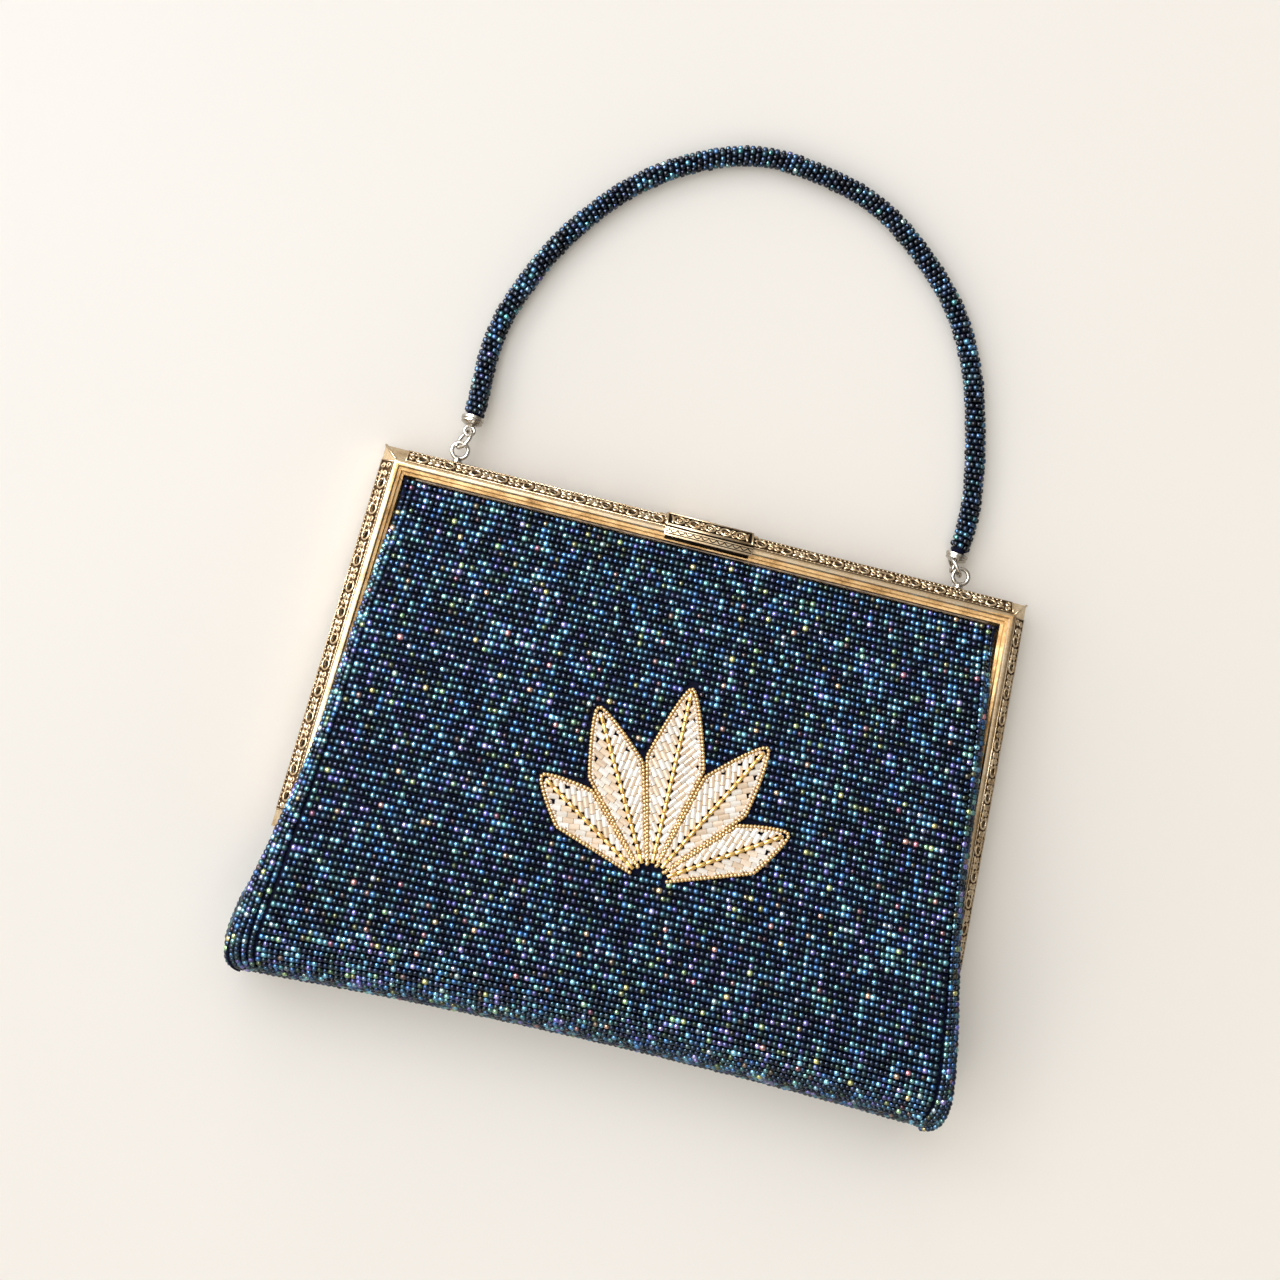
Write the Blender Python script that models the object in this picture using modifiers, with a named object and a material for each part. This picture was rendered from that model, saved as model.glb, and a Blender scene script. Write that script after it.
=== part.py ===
"""A beaded evening bag with a hinged openwork metal frame, lying on its back.

The bag is laid out in its own plane, which leans up from the table towards the base.
A place in it is (across, drop, proud): across to the right, drop from the frame's top
edge towards the base, and proud of the plane where the two halves of the frame meet.
The front is at positive proud and faces up. Lengths are in metres, +Z is up, +Y points
from the base to the handle, and the origin is on the flat of the back that rests.
"""

import math

import bmesh
import bpy
from mathutils import Matrix, Vector

# Frame: a channel of sheet metal bent to a U, one for the front and one for the back
FRAME_WIDTH = 0.199
ARM_DROP = 0.117
ARM_SPLAY = math.radians(2.7)
BAND = 0.0076
HALF_THICKNESS = 0.0070
SHEET = 0.0009
PARTING_GAP = 0.00015

# How the bag lies: the bag's plane leans, and the frame's back just clears the table
LEAN = math.radians(4.0)
FRAME_TOP_Y = 0.080
FRAME_CLEARANCE = 0.0003

# Beaded body
BAG_DROP = 0.1605
BASE_WIDTH = 0.2190
HALF_DEPTH = 0.0180
BASE_SAG = 0.0030
WALL = 0.0020
PANEL_CLEARANCE = 0.00045
SEAM_GAP = 0.0004
GUSSET_GAP = 0.0006
GUSSET_END = 0.979
GUSSET_SWELL = 0.0024
CROWN_POWER = 2.3

# Openwork along the sloping face of the frame
GAP_PITCH = 0.0080
GAP_LENGTH = 0.0032
GAP_WIDTH = 0.0015
GAP_TURN = math.radians(24)
GAP_END_MARGIN = 0.0090

# Hinges at the ends of the frame's arms
HINGE_RADIUS = 0.0020
HINGE_GAP = 0.0004
HINGE_TONGUE = 0.0080

# Clasp: a flap that turns on a pin in the back half and laps over the front half
FLAP_WIDTH = 0.0270
FLAP_SHEET = 0.0008
FLAP_CLEARANCE = 0.0004
FLAP_LAP = 0.0064
RIM_RAISE = 0.0003
RIM_WIDTH = 0.0019
BARREL_RADIUS = 0.00125
BARREL_BORE = 0.0007
PIN_RADIUS = 0.0004
PIN_HEAD = 0.0016
PIN_PLAY = 0.0003
FLAP_GAPS = 5
FLAP_GAP_PITCH = 0.0048

# Eyes on the frame, jump rings and handle
EYE_INSET = 0.0215
EYE_RADIUS = 0.0024
EYE_WIRE = 0.0005
EYE_RISE = 0.0039
EYE_PROUD = 0.0012
COLLAR_RADIUS = 0.0014
COLLAR_GAP = 0.0003
RING_RADIUS = 0.0031
RING_WIRE = 0.00045
HANDLE_RADIUS = 0.0033
HANDLE_RISE = 0.1132
LEFT_END_RISE = 0.01494
RIGHT_END_RISE = 0.01109
CAP_RADIUS = 0.0034
CAP_DEPTH = 0.0029
CAP_EYE_RADIUS = 0.00145
CAP_EYE_WIRE = 0.0004
CAP_GAP = 0.0003

# Sections of the front of the body, from the mouth to the base. The back mirrors them.
# drop is a share of BAG_DROP. flare is the outline, a share of the way from the seat
# inside the frame's arm to the base's half width, and seam is the edge, a share of the
# way from that seat to the outline. The heights, the shoulder's step inwards and lift,
# how far the seam stands back from the fold of the base, are shares of HALF_DEPTH, and
# sag is a share of BASE_SAG.
SECTIONS = (
    # drop, flare, seam, seam, tuck and widest heights, shoulder (in, height), crown, sag, lift
    (0.0520, 0.00, 0.00, 0.262, 0.262, 0.262, (0.34, 0.262), 0.262, 0.00, 0.00),
    (0.1200, 0.01, 0.00, 0.262, 0.292, 0.325, (0.36, 0.400), 0.455, 0.04, 0.00),
    (0.2200, 0.06, 0.00, 0.258, 0.345, 0.430, (0.37, 0.580), 0.655, 0.12, 0.00),
    (0.3700, 0.13, 0.00, 0.258, 0.410, 0.535, (0.38, 0.715), 0.840, 0.22, 0.00),
    (0.5200, 0.20, 0.00, 0.258, 0.465, 0.600, (0.40, 0.800), 0.945, 0.32, 0.00),
    (0.6400, 0.34, 0.00, 0.262, 0.490, 0.645, (0.43, 0.855), 1.000, 0.42, 0.00),
    (0.7200, 0.50, 0.07, 0.360, 0.540, 0.685, (0.43, 0.880), 1.015, 0.52, 0.00),
    (0.7850, 0.64, 0.62, 0.540, 0.640, 0.725, (0.40, 0.885), 1.010, 0.62, 0.00),
    (0.8500, 0.78, 0.88, 0.615, 0.670, 0.730, (0.37, 0.865), 0.975, 0.74, 0.00),
    (0.9000, 0.89, 0.94, 0.570, 0.620, 0.675, (0.37, 0.795), 0.890, 0.84, 0.00),
    (0.9400, 0.96, 0.95, 0.475, 0.520, 0.570, (0.37, 0.665), 0.745, 0.92, 0.00),
    (0.9700, 0.94, 0.95, 0.345, 0.380, 0.415, (0.36, 0.490), 0.550, 0.97, 0.02),
    (0.9900, 0.82, 0.94, 0.195, 0.213, 0.235, (0.34, 0.280), 0.315, 1.00, 0.07),
    (1.0000, 0.60, 0.92, 0.000, 0.000, 0.000, (0.32, 0.000), 0.000, 1.00, 0.15),
)
TUCK_PLACE = 0.55
ROWS_PER_SECTION = 2
CROWN_COLUMNS = 6

# Frame's profile, from the parting line over the crest to the lip that holds the cloth:
# shares of BAND inwards from the outer edge, and of HALF_THICKNESS.
OUTER_PROFILE = (
    (0.000, None),
    (0.000, 0.290),
    (0.515, 0.945),
    (0.590, 1.000),
    (0.700, 1.000),
    (0.755, 0.875),
    (0.865, 0.860),
    (0.890, 0.735),
    (1.000, 0.715),
)
# Underside of the sheet, back to the parting line: an outer point, then steps in SHEET.
INNER_PROFILE = (
    (8, 0.00, -1.00),
    (8, -2.00, -1.00),
    (4, -0.35, -1.15),
    (2, 0.45, -1.00),
    (1, 1.00, -0.35),
    (0, 1.00, 0.00),
)

# The handle's route over the table, from the left cap to the right one: shares of the
# eyes' half spread across, of the way from the end's own rise to HANDLE_RISE beyond the
# frame, and of HANDLE_RADIUS in height.
HANDLE_LEFT = (
    (-0.982, 0.0000, 1.88),
    (-0.980, 0.0760, 1.45),
    (-0.983, 0.1682, 1.12),
    (-0.974, 0.2604, 1.00),
    (-0.948, 0.3525, 1.00),
    (-0.861, 0.5231, 1.00),
    (-0.740, 0.6797, 1.00),
    (-0.583, 0.8179, 1.00),
    (-0.384, 0.9274, 1.00),
    (-0.148, 0.9954, 1.00),
)
HANDLE_RIGHT = (
    (0.104, 0.9890, 1.00),
    (0.346, 0.9413, 1.00),
    (0.554, 0.8382, 1.00),
    (0.730, 0.7085, 1.00),
    (0.853, 0.5500, 1.00),
    (0.926, 0.3792, 1.00),
    (0.972, 0.2217, 1.00),
    (0.988, 0.0976, 1.00),
    (0.978, 0.0000, 1.06),
)
HANDLE_POINTS = 44

# The handle hangs on each jump ring, which hangs in the frame's eye. The axes that the
# two rings lie along: the first points from the eye to the cap's eye.
LEFT_RING_ALONG = Vector((0.25, 0.91, -0.33))
LEFT_RING_SIDE = Vector((0.39, -0.10, 0.92))

DRAWN = "beaded_evening_bag"
CUTTERS = "cutters"


def start_scene():
    """Empties the scene and returns the collections for the pieces and the cutters."""
    for obj in list(bpy.data.objects):
        bpy.data.objects.remove(obj)
    made = []
    for name in (DRAWN, CUTTERS):
        collection = bpy.data.collections.new(name)
        bpy.context.scene.collection.children.link(collection)
        made.append(collection)
    return made


def make_material(name, colour, metallic, roughness):
    """Returns a Principled material."""
    material = bpy.data.materials.new(name)
    material.use_nodes = True
    shader = material.node_tree.nodes["Principled BSDF"]
    shader.inputs["Base Color"].default_value = (*colour, 1.0)
    shader.inputs["Metallic"].default_value = metallic
    shader.inputs["Roughness"].default_value = roughness
    return material


def lean_axes():
    """The bag's own axes in the world: across, down the bag, and proud."""
    across = Vector((1.0, 0.0, 0.0))
    down = Vector((0.0, -math.cos(LEAN), math.sin(LEAN)))
    proud = Vector((0.0, math.sin(LEAN), math.cos(LEAN)))
    return across, down, proud


def frame_top_height():
    """Height of the frame's top edge that leaves the back crest just clear of the table."""
    crest_drop = OUTER_PROFILE[3][0] * BAND
    return FRAME_CLEARANCE + HALF_THICKNESS * math.cos(LEAN) - crest_drop * math.sin(LEAN)


def place(across, drop, proud):
    """A point of the bag's plane in the world."""
    a, d, p = lean_axes()
    start = Vector((0.0, FRAME_TOP_Y, frame_top_height()))
    return start + a * across + d * drop + p * proud


def matrix_at(origin, x_axis, y_axis):
    """A placement with its X along x_axis and its Y as near y_axis as it can be."""
    x = x_axis.normalized()
    z = x.cross(y_axis).normalized()
    y = z.cross(x)
    turned = Matrix((x, y, z)).transposed().to_4x4()
    turned.translation = origin
    return turned


def link(obj, collection, material=None):
    """Puts an object in a collection alone and gives it its material."""
    for used in list(obj.users_collection):
        used.objects.unlink(obj)
    collection.objects.link(obj)
    if material:
        obj.data.materials.clear()
        obj.data.materials.append(material)
    return obj


def mesh_object(name, bm, collection, material=None):
    """Turns a bmesh into an object with its faces pointing out."""
    bmesh.ops.recalc_face_normals(bm, faces=bm.faces)
    mesh = bpy.data.meshes.new(name)
    bm.to_mesh(mesh)
    bm.free()
    return link(bpy.data.objects.new(name, mesh), collection, material)


def hide_tool(obj):
    """Marks an object as a tool of a Boolean, which isn't a piece of the bag."""
    obj.hide_render = True
    obj.display_type = "WIRE"


def join_with(obj, tool, operation):
    """Adds an exact Boolean of obj with a hidden tool."""
    hide_tool(tool)
    boolean = obj.modifiers.new(operation.lower(), "BOOLEAN")
    boolean.operation = operation
    boolean.solver = "EXACT"
    boolean.object = tool


def loft(rings, closed_rings, capped):
    """A bmesh skin through rings of points with equal counts, for sections that differ."""
    bm = bmesh.new()
    rows = [[bm.verts.new(point) for point in ring] for ring in rings]
    count = len(rows[0])
    last = count if closed_rings else count - 1
    for one, two in zip(rows, rows[1:]):
        for i in range(last):
            j = (i + 1) % count
            bm.faces.new((one[i], one[j], two[j], two[i]))
    if capped:
        bm.faces.new(rows[0])
        bm.faces.new(list(reversed(rows[-1])))
    return bm


def catmull(values, t):
    """A smooth curve through equally spaced values, read at t counted in values."""
    last = len(values) - 1
    i = min(int(t), last - 1)
    u = t - i
    b, c = values[i], values[i + 1]
    a = values[i - 1] if i > 0 else b * 2 - c
    d = values[i + 2] if i + 2 <= last else c * 2 - b
    return (b * 2 + (c - a) * u + (a * 2 - b * 5 + c * 4 - d) * u**2 + (b * 3 - a - c * 3 + d) * u**3) * 0.5


def arm_outer(drop):
    """Half the frame's width at a drop."""
    return FRAME_WIDTH / 2 + drop * math.tan(ARM_SPLAY)


def arm_line(inwards, drop):
    """How far across the line lies that runs inwards of the right arm's outer edge."""
    return arm_outer(drop) - inwards / math.cos(ARM_SPLAY)


def panel_seat(drop):
    """How far across the panel's seat lies, just inside the frame's arm."""
    return arm_line(BAND + PANEL_CLEARANCE, drop)


def section(t):
    """The front section at t, counted in SECTIONS, as named values in metres."""
    names = ("drop", "flare", "seam", "seam_high", "tuck_high", "wide_high")
    read = {name: catmull([row[k] for row in SECTIONS], t) for k, name in enumerate(names)}
    shoulder_in, shoulder_high = (catmull([row[6][m] for row in SECTIONS], t) for m in (0, 1))
    crown, sag, lift = (catmull([row[k] for row in SECTIONS], t) for k in (7, 8, 9))
    drop = read["drop"] * BAG_DROP
    seat = panel_seat(drop)
    reach = seat + read["flare"] * (BASE_WIDTH / 2 - seat)
    seam = seat + read["seam"] * (reach - seat)
    return {
        "drop": drop,
        "seam": Vector((seam, read["seam_high"] * HALF_DEPTH)),
        "tuck": Vector((seam + TUCK_PLACE * (reach - seam), read["tuck_high"] * HALF_DEPTH)),
        "widest": Vector((reach, read["wide_high"] * HALF_DEPTH)),
        "shoulder": Vector((reach - shoulder_in * HALF_DEPTH, shoulder_high * HALF_DEPTH)),
        "crown": crown * HALF_DEPTH,
        "sag": sag * BASE_SAG,
        "lift": lift * HALF_DEPTH,
    }


def half_section(t):
    """Points (across, drop, proud) of the front's right half, from its edge to the middle."""
    cut = section(t)
    seam, tuck, widest, shoulder = (cut[name] for name in ("seam", "tuck", "widest", "shoulder"))
    side = [seam, seam.lerp(tuck, 0.5), tuck, tuck.lerp(widest, 0.5), widest]
    side[3] += (widest - tuck).yx * Vector((0.12, -0.12))
    side.append(widest.lerp(shoulder, 0.5) + (widest - shoulder).yx * Vector((-0.16, 0.16)))
    side.append(shoulder)
    for k in range(1, CROWN_COLUMNS + 1):
        share = 1 - k / CROWN_COLUMNS
        height = shoulder.y + (cut["crown"] - shoulder.y) * (1 - share**CROWN_POWER)
        side.append(Vector((shoulder.x * share, height)))
    found = []
    for k, p in enumerate(side):
        rise = cut["sag"] * (1 - (p.x / widest.x) ** 2) + cut["lift"] * max(1 - k / 4, 0.0)
        found.append((p.x, cut["drop"] - rise, p.y))
    return found


def body_row(t, facing):
    """A row of the body across the bag, on the front (1) or the back (-1), off the table."""
    right = half_section(t)
    left = [(-x, drop, proud) for x, drop, proud in reversed(right[:-1])]
    points = [place(x, drop, proud * facing) for x, drop, proud in right + left]
    return [Vector((p.x, p.y, max(p.z, 0.0))) for p in points]


def make_body(collection, material):
    """The beaded cloth: front, base and back in one piece, open along the frame."""
    last = len(SECTIONS) - 1
    steps = [k / ROWS_PER_SECTION for k in range(last * ROWS_PER_SECTION)]
    front = [body_row(t, 1) for t in steps]
    back = [body_row(t, -1) for t in reversed(steps)]
    bm = loft(front + [body_row(last, 1)] + back, closed_rings=False, capped=False)
    body = mesh_object("body_wrap", bm, collection, material)
    turn_out(body)
    add_wall(body)
    body.data.shade_smooth()
    return body


def turn_out(obj):
    """Turns an open shell's faces away from the middle of the bag."""
    middle = place(0.0, BAG_DROP * 0.6, 0.0)
    mesh = obj.data
    votes = sum((f.center - middle).dot(f.normal) * f.area for f in mesh.polygons)
    if votes < 0:
        mesh.flip_normals()


def add_wall(obj):
    """Gives an open shell its wall, inwards."""
    wall = obj.modifiers.new("wall", "SOLIDIFY")
    wall.thickness = WALL
    wall.offset = -1.0
    wall.use_quality_normals = True


def section_at_drop(drop):
    """The place t in SECTIONS whose seam has this drop."""
    low, high = 0.0, len(SECTIONS) - 1.0
    for _ in range(40):
        middle = (low + high) / 2
        cut = section(middle)
        if cut["drop"] - cut["lift"] < drop:
            low = middle
        else:
            high = middle
    return (low + high) / 2


def make_gusset(name, side, collection, material):
    """The beaded side strip below the hinge, between the seams of the front and back."""
    rows = []
    top = ARM_DROP + HINGE_GAP + 2 * HINGE_RADIUS + GUSSET_GAP
    bottom = BAG_DROP * GUSSET_END
    for k in range(9):
        drop = top + (bottom - top) * k / 8
        seam = section(section_at_drop(drop))
        half = seam["seam"].y - SEAM_GAP
        edge = seam["seam"].x
        swell = GUSSET_SWELL * half / (HALF_DEPTH * 0.6)
        columns = [m / 4 for m in range(-4, 5)]
        row = [place(side * (edge + swell * (1 - c * c)), drop, half * c) for c in columns]
        rows.append([Vector((p.x, p.y, max(p.z, 0.0))) for p in row])
    gusset = mesh_object(name, loft(rows, closed_rings=False, capped=False), collection, material)
    turn_out(gusset)
    add_wall(gusset)
    gusset.data.shade_smooth()
    return gusset


def frame_profile():
    """The channel's outline as (inwards, proud), outside first and then the underside."""
    outer = [Vector((0.0, PARTING_GAP))]
    for inwards, proud in OUTER_PROFILE[1:]:
        outer.append(Vector((inwards * BAND, proud * HALF_THICKNESS)))
    inner = [outer[k] + Vector((a, b)) * SHEET for k, a, b in INNER_PROFILE]
    return outer + inner


def frame_stations(inwards, proud):
    """Where a line of the profile turns: left arm's end, two corners, right arm's end."""
    corner = (arm_line(inwards, inwards), inwards, proud)
    end = (arm_line(inwards, ARM_DROP), ARM_DROP, proud)
    return [(-end[0], *end[1:]), (-corner[0], *corner[1:]), corner, end]


def make_frame_half(name, facing, collection, material):
    """One U of the frame, mitred at its two corners, before its openwork is cut."""
    lines = [frame_stations(point.x, point.y * facing) for point in frame_profile()]
    rings = [[place(*line[k]) for line in lines] for k in range(4)]
    return mesh_object(name, loft(rings, closed_rings=True, capped=True), collection, material)


def slope_middle():
    """Middle of the sloping face, with its run and its outward normal in the profile."""
    profile = frame_profile()
    start, end = profile[1], profile[2]
    run = (end - start).normalized()
    return (start + end) / 2, run, Vector((-run.y, run.x))


def gap_places():
    """(point, along, up the slope, outwards) of each gap of the openwork of one half."""
    middle, run, normal = slope_middle()
    across, down, proud = lean_axes()
    inner = arm_line(middle.x, middle.x)
    sine, cosine = math.sin(ARM_SPLAY), math.cos(ARM_SPLAY)
    legs = (
        (place(-inner, middle.x, middle.y), across, down, 2 * inner),
        (place(inner, middle.x, middle.y), across * sine + down * cosine, -across * cosine + down * sine,
         (ARM_DROP - middle.x) / cosine),
        (place(-inner, middle.x, middle.y), -across * sine + down * cosine, across * cosine + down * sine,
         (ARM_DROP - middle.x) / cosine),
    )
    found = []
    for start, along, inwards, length in legs:
        count = int((length - 2 * GAP_END_MARGIN) / GAP_PITCH) + 1
        first = (length - (count - 1) * GAP_PITCH) / 2
        up = inwards * run.x + proud * run.y
        out = inwards * normal.x + proud * normal.y
        found += [(start + along * (first + k * GAP_PITCH), along, up, out) for k in range(count)]
    return found


def add_gap_cutter(bm, point, along, up, out, length, width, turn):
    """Adds a six-sided leaf to a cutter, turned in the face that it goes through."""
    tipped = along * math.cos(turn) + up * math.sin(turn)
    side = out.cross(tipped)
    placed = matrix_at(point, tipped, side)
    size = Matrix.Diagonal((length / 2, width / 2, 1.0, 1.0))
    bmesh.ops.create_cone(
        bm, cap_ends=True, segments=6, radius1=1.0, radius2=1.0, depth=SHEET * 3.4, matrix=placed @ size
    )


def cut_openwork(frame, facing, cutters):
    """Cuts the gaps through the sloping face, leaning to and fro by turns."""
    bm = bmesh.new()
    flip = Matrix.Identity(4)
    if facing < 0:
        flip = mirror_in_plane()
    for k, (point, along, up, out) in enumerate(gap_places()):
        turn = GAP_TURN if k % 2 else -GAP_TURN
        add_gap_cutter(bm, point, along, up, out, GAP_LENGTH, GAP_WIDTH, turn)
    bmesh.ops.transform(bm, matrix=flip, verts=bm.verts)
    cutter = mesh_object(frame.name + "_gaps", bm, cutters)
    join_with(frame, cutter, "DIFFERENCE")


def mirror_in_plane():
    """Mirrors the world in the plane where the frame's halves meet."""
    proud = lean_axes()[2]
    start = place(0.0, 0.0, 0.0)
    shift = Matrix.Translation(start)
    return shift @ Matrix.Scale(-1.0, 4, proud) @ shift.inverted()


def box_in_plane(name, low, high, collection):
    """A box between two corners given as (across, drop, proud)."""
    bm = bmesh.new()
    bmesh.ops.create_cube(bm, size=1.0)
    size = [b - a for a, b in zip(low, high)]
    middle = place(*[(a + b) / 2 for a, b in zip(low, high)])
    across, down, proud = lean_axes()
    turned = Matrix((across, -down, proud)).transposed().to_4x4()
    turned.translation = middle
    bmesh.ops.transform(bm, matrix=turned @ Matrix.Diagonal((*size, 1.0)), verts=bm.verts)
    return mesh_object(name, bm, collection)


def rod(name, start, end, radius, sides, collection, material=None):
    """A cylinder between two points."""
    bm = bmesh.new()
    axis = end - start
    turned = axis.to_track_quat("Z", "Y").to_matrix().to_4x4()
    turned.translation = (start + end) / 2
    bmesh.ops.create_cone(
        bm, cap_ends=True, segments=sides, radius1=radius, radius2=radius, depth=axis.length, matrix=turned
    )
    return mesh_object(name, bm, collection, material)


def make_hinge(name, side, collection, cutters, material):
    """A plain hinge at an arm's end: a barrel with a tongue that runs up both channels."""
    middle_drop = ARM_DROP + HINGE_GAP + HINGE_RADIUS
    outer = arm_line(0.0, ARM_DROP)
    start = place(side * (outer - BAND), middle_drop, 0.0)
    end = place(side * (outer - SHEET), middle_drop, 0.0)
    hinge = rod(name, start, end, HINGE_RADIUS, 14, collection, material)
    top = ARM_DROP - HINGE_TONGUE
    inside = arm_line(SHEET + PIN_PLAY, top)
    low = (inside - BAND * 0.45, top, -HINGE_RADIUS * 0.7)
    high = (inside, middle_drop, HINGE_RADIUS * 0.7)
    if side < 0:
        low, high = (-high[0], *low[1:]), (-low[0], *high[1:])
    join_with(hinge, box_in_plane(name + "_tongue", low, high, cutters), "UNION")
    return hinge


def barrel_place():
    """Centre of the clasp's barrel as (inwards, proud), in the back half's outer wall."""
    return Vector((BARREL_RADIUS - FLAP_CLEARANCE - FLAP_SHEET, -OUTER_PROFILE[1][1] * HALF_THICKNESS * 1.25))


def flap_outline():
    """The flap's section as (inwards, proud): underside, lapping edge, back to the barrel."""
    profile = frame_profile()
    wall, slope, crest = profile[1], profile[2], profile[3]
    clear, thick = FLAP_CLEARANCE, FLAP_CLEARANCE + FLAP_SHEET
    run = (slope - wall).normalized()
    out = Vector((-run.y, run.x))
    centre = barrel_place()
    top = crest.y + thick
    under = [
        Vector((-clear, centre.y)),
        Vector((-clear, wall.y + clear * 0.4)),
        slope + out * clear + run * clear * 0.4,
        Vector((crest.x, crest.y + clear)),
        Vector((FLAP_LAP, crest.y + clear)),
    ]
    over = [
        Vector((FLAP_LAP, top + RIM_RAISE)),
        Vector((FLAP_LAP - RIM_WIDTH, top + RIM_RAISE)),
        Vector((FLAP_LAP - RIM_WIDTH - RIM_RAISE, top)),
        Vector((crest.x - thick * 0.5, top)),
        wall + out * thick,
        Vector((-thick, centre.y)),
    ]
    around = []
    for k in range(1, 10):
        angle = math.pi + math.radians(28.0) * k
        around.append(centre + Vector((math.cos(angle), math.sin(angle))) * BARREL_RADIUS)
    return under + over + around


def make_flap(collection, cutters, material):
    """The clasp's flap, with a barrel round the pin and gaps through its sloping face."""
    outline = flap_outline()
    rings = []
    for side in (-0.5, 0.5):
        rings.append([place(side * FLAP_WIDTH, p.x, p.y) for p in outline])
    flap = mesh_object("clasp_flap", loft(rings, closed_rings=True, capped=True), collection, material)
    centre = barrel_place()
    bore_ends = [place(side * FLAP_WIDTH, centre.x, centre.y) for side in (-0.6, 0.6)]
    join_with(flap, rod("clasp_bore", *bore_ends, BARREL_BORE, 12, cutters), "DIFFERENCE")
    join_with(flap, flap_gap_cutter(cutters), "DIFFERENCE")
    return flap


def flap_gap_cutter(cutters):
    """The flap's gaps, cut square to its sloping face."""
    middle, run, normal = slope_middle()
    middle = middle + normal * (FLAP_CLEARANCE + FLAP_SHEET / 2)
    across, down, proud = lean_axes()
    up = down * run.x + proud * run.y
    out = down * normal.x + proud * normal.y
    bm = bmesh.new()
    for k in range(FLAP_GAPS):
        along = (k - (FLAP_GAPS - 1) / 2) * FLAP_GAP_PITCH
        turn = GAP_TURN if k % 2 else -GAP_TURN
        point = place(along, middle.x, middle.y)
        add_gap_cutter(bm, point, across, up, out, GAP_LENGTH * 0.8, GAP_WIDTH, turn)
    return mesh_object("clasp_gaps", bm, cutters)


def make_clasp_pin(collection, material):
    """The flap's pin with a head at each end, which the back half of the frame holds."""
    centre = barrel_place()
    inner = FLAP_WIDTH / 2 + PIN_PLAY
    outer = inner + PIN_HEAD
    profile = [(0.0, outer), (BARREL_RADIUS, outer), (BARREL_RADIUS, inner), (PIN_RADIUS, inner)]
    profile += [(r, -z) for r, z in reversed(profile)]
    placed = matrix_at(place(0.0, centre.x, centre.y), lean_axes()[1], lean_axes()[2])
    return turned_piece("clasp_pin", profile, placed, 12, collection, material)


def turned_piece(name, profile, placed, sides, collection, material):
    """A turned piece from a profile of (radius, height) that runs down its outer side."""
    mesh = bpy.data.meshes.new(name)
    points = [(r, 0.0, z) for r, z in profile]
    mesh.from_pydata(points, [(k, k + 1) for k in range(len(points) - 1)], [])
    obj = link(bpy.data.objects.new(name, mesh), collection, material)
    screw = obj.modifiers.new("turn", "SCREW")
    screw.steps = sides
    screw.render_steps = sides
    screw.use_merge_vertices = True
    screw.merge_threshold = 1e-5
    screw.use_smooth_shade = False
    obj.matrix_world = placed
    return obj


def clasp_pocket(frame, cutters):
    """Opens the back half's outer wall for the clasp's barrel and pin."""
    centre = barrel_place()
    reach = BARREL_RADIUS + PIN_PLAY
    half = FLAP_WIDTH / 2 + PIN_PLAY + PIN_HEAD + PIN_PLAY
    low = (-half, -2 * SHEET, centre.y - reach)
    high = (half, centre.x + reach, centre.y + reach)
    join_with(frame, box_in_plane("clasp_pocket", low, high, cutters), "DIFFERENCE")


def ring(name, placed, radius, wire, sides, collection, material=None):
    """A round ring of wire in the XY plane of its placement."""
    bpy.ops.mesh.primitive_torus_add(
        major_radius=radius, minor_radius=wire, major_segments=sides, minor_segments=6
    )
    obj = bpy.context.object
    obj.name = name
    obj.matrix_world = placed
    obj.data.shade_smooth()
    return link(obj, collection, material)


def eye_half_spread():
    """How far across each eye stands from the middle of the frame."""
    return FRAME_WIDTH / 2 - EYE_INSET


def eye_centre(side):
    """Centre of an eye on the frame."""
    return place(side * eye_half_spread(), -EYE_RISE, EYE_PROUD)


def make_eye(name, side, collection, cutters, material):
    """A fixed eye: a ring on a collar that stands on the frame's top edge."""
    across, down, _ = lean_axes()
    eye = ring(name, matrix_at(eye_centre(side), across, -down), EYE_RADIUS, EYE_WIRE, 16, collection, material)
    foot = eye_centre(side) + down * (EYE_RISE - COLLAR_GAP)
    head = eye_centre(side) + down * (EYE_RADIUS - EYE_WIRE * 0.2)
    join_with(eye, rod(name + "_collar", head, foot, COLLAR_RADIUS, 12, cutters), "UNION")
    return eye


def handle_line():
    """The handle's middle line over the table, as points from cap to cap."""
    knots = []
    for route, low in ((HANDLE_LEFT, LEFT_END_RISE), (HANDLE_RIGHT, RIGHT_END_RISE)):
        for across, rise, height in route:
            y = FRAME_TOP_Y + low + rise * (HANDLE_RISE - low)
            knots.append(Vector((across * eye_half_spread(), y, height * HANDLE_RADIUS)))
    last = len(knots) - 1
    return [catmull(knots, last * k / (HANDLE_POINTS - 1)) for k in range(HANDLE_POINTS)]


def make_handle(collection, material):
    """The beaded rope of the handle, as a plain round tube."""
    curve = bpy.data.curves.new("handle_rope", "CURVE")
    curve.dimensions = "3D"
    curve.bevel_depth = HANDLE_RADIUS
    curve.bevel_resolution = 3
    curve.use_fill_caps = True
    line = handle_line()
    spline = curve.splines.new("POLY")
    spline.points.add(len(line) - 1)
    for point, at in zip(spline.points, line):
        point.co = (*at, 1.0)
    return link(bpy.data.objects.new("handle_rope", curve), collection, material)


def cap_frame(side):
    """Where a cap starts, just off the rope's end, and the way that it points."""
    line = handle_line()
    end, before = (line[0], line[1]) if side < 0 else (line[-1], line[-2])
    away = (end - before).normalized()
    return end + away * CAP_GAP, away


def cap_eye_centre(side):
    """Centre of the small eye under a cap."""
    start, away = cap_frame(side)
    return start + away * (CAP_DEPTH + CAP_EYE_RADIUS)


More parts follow.
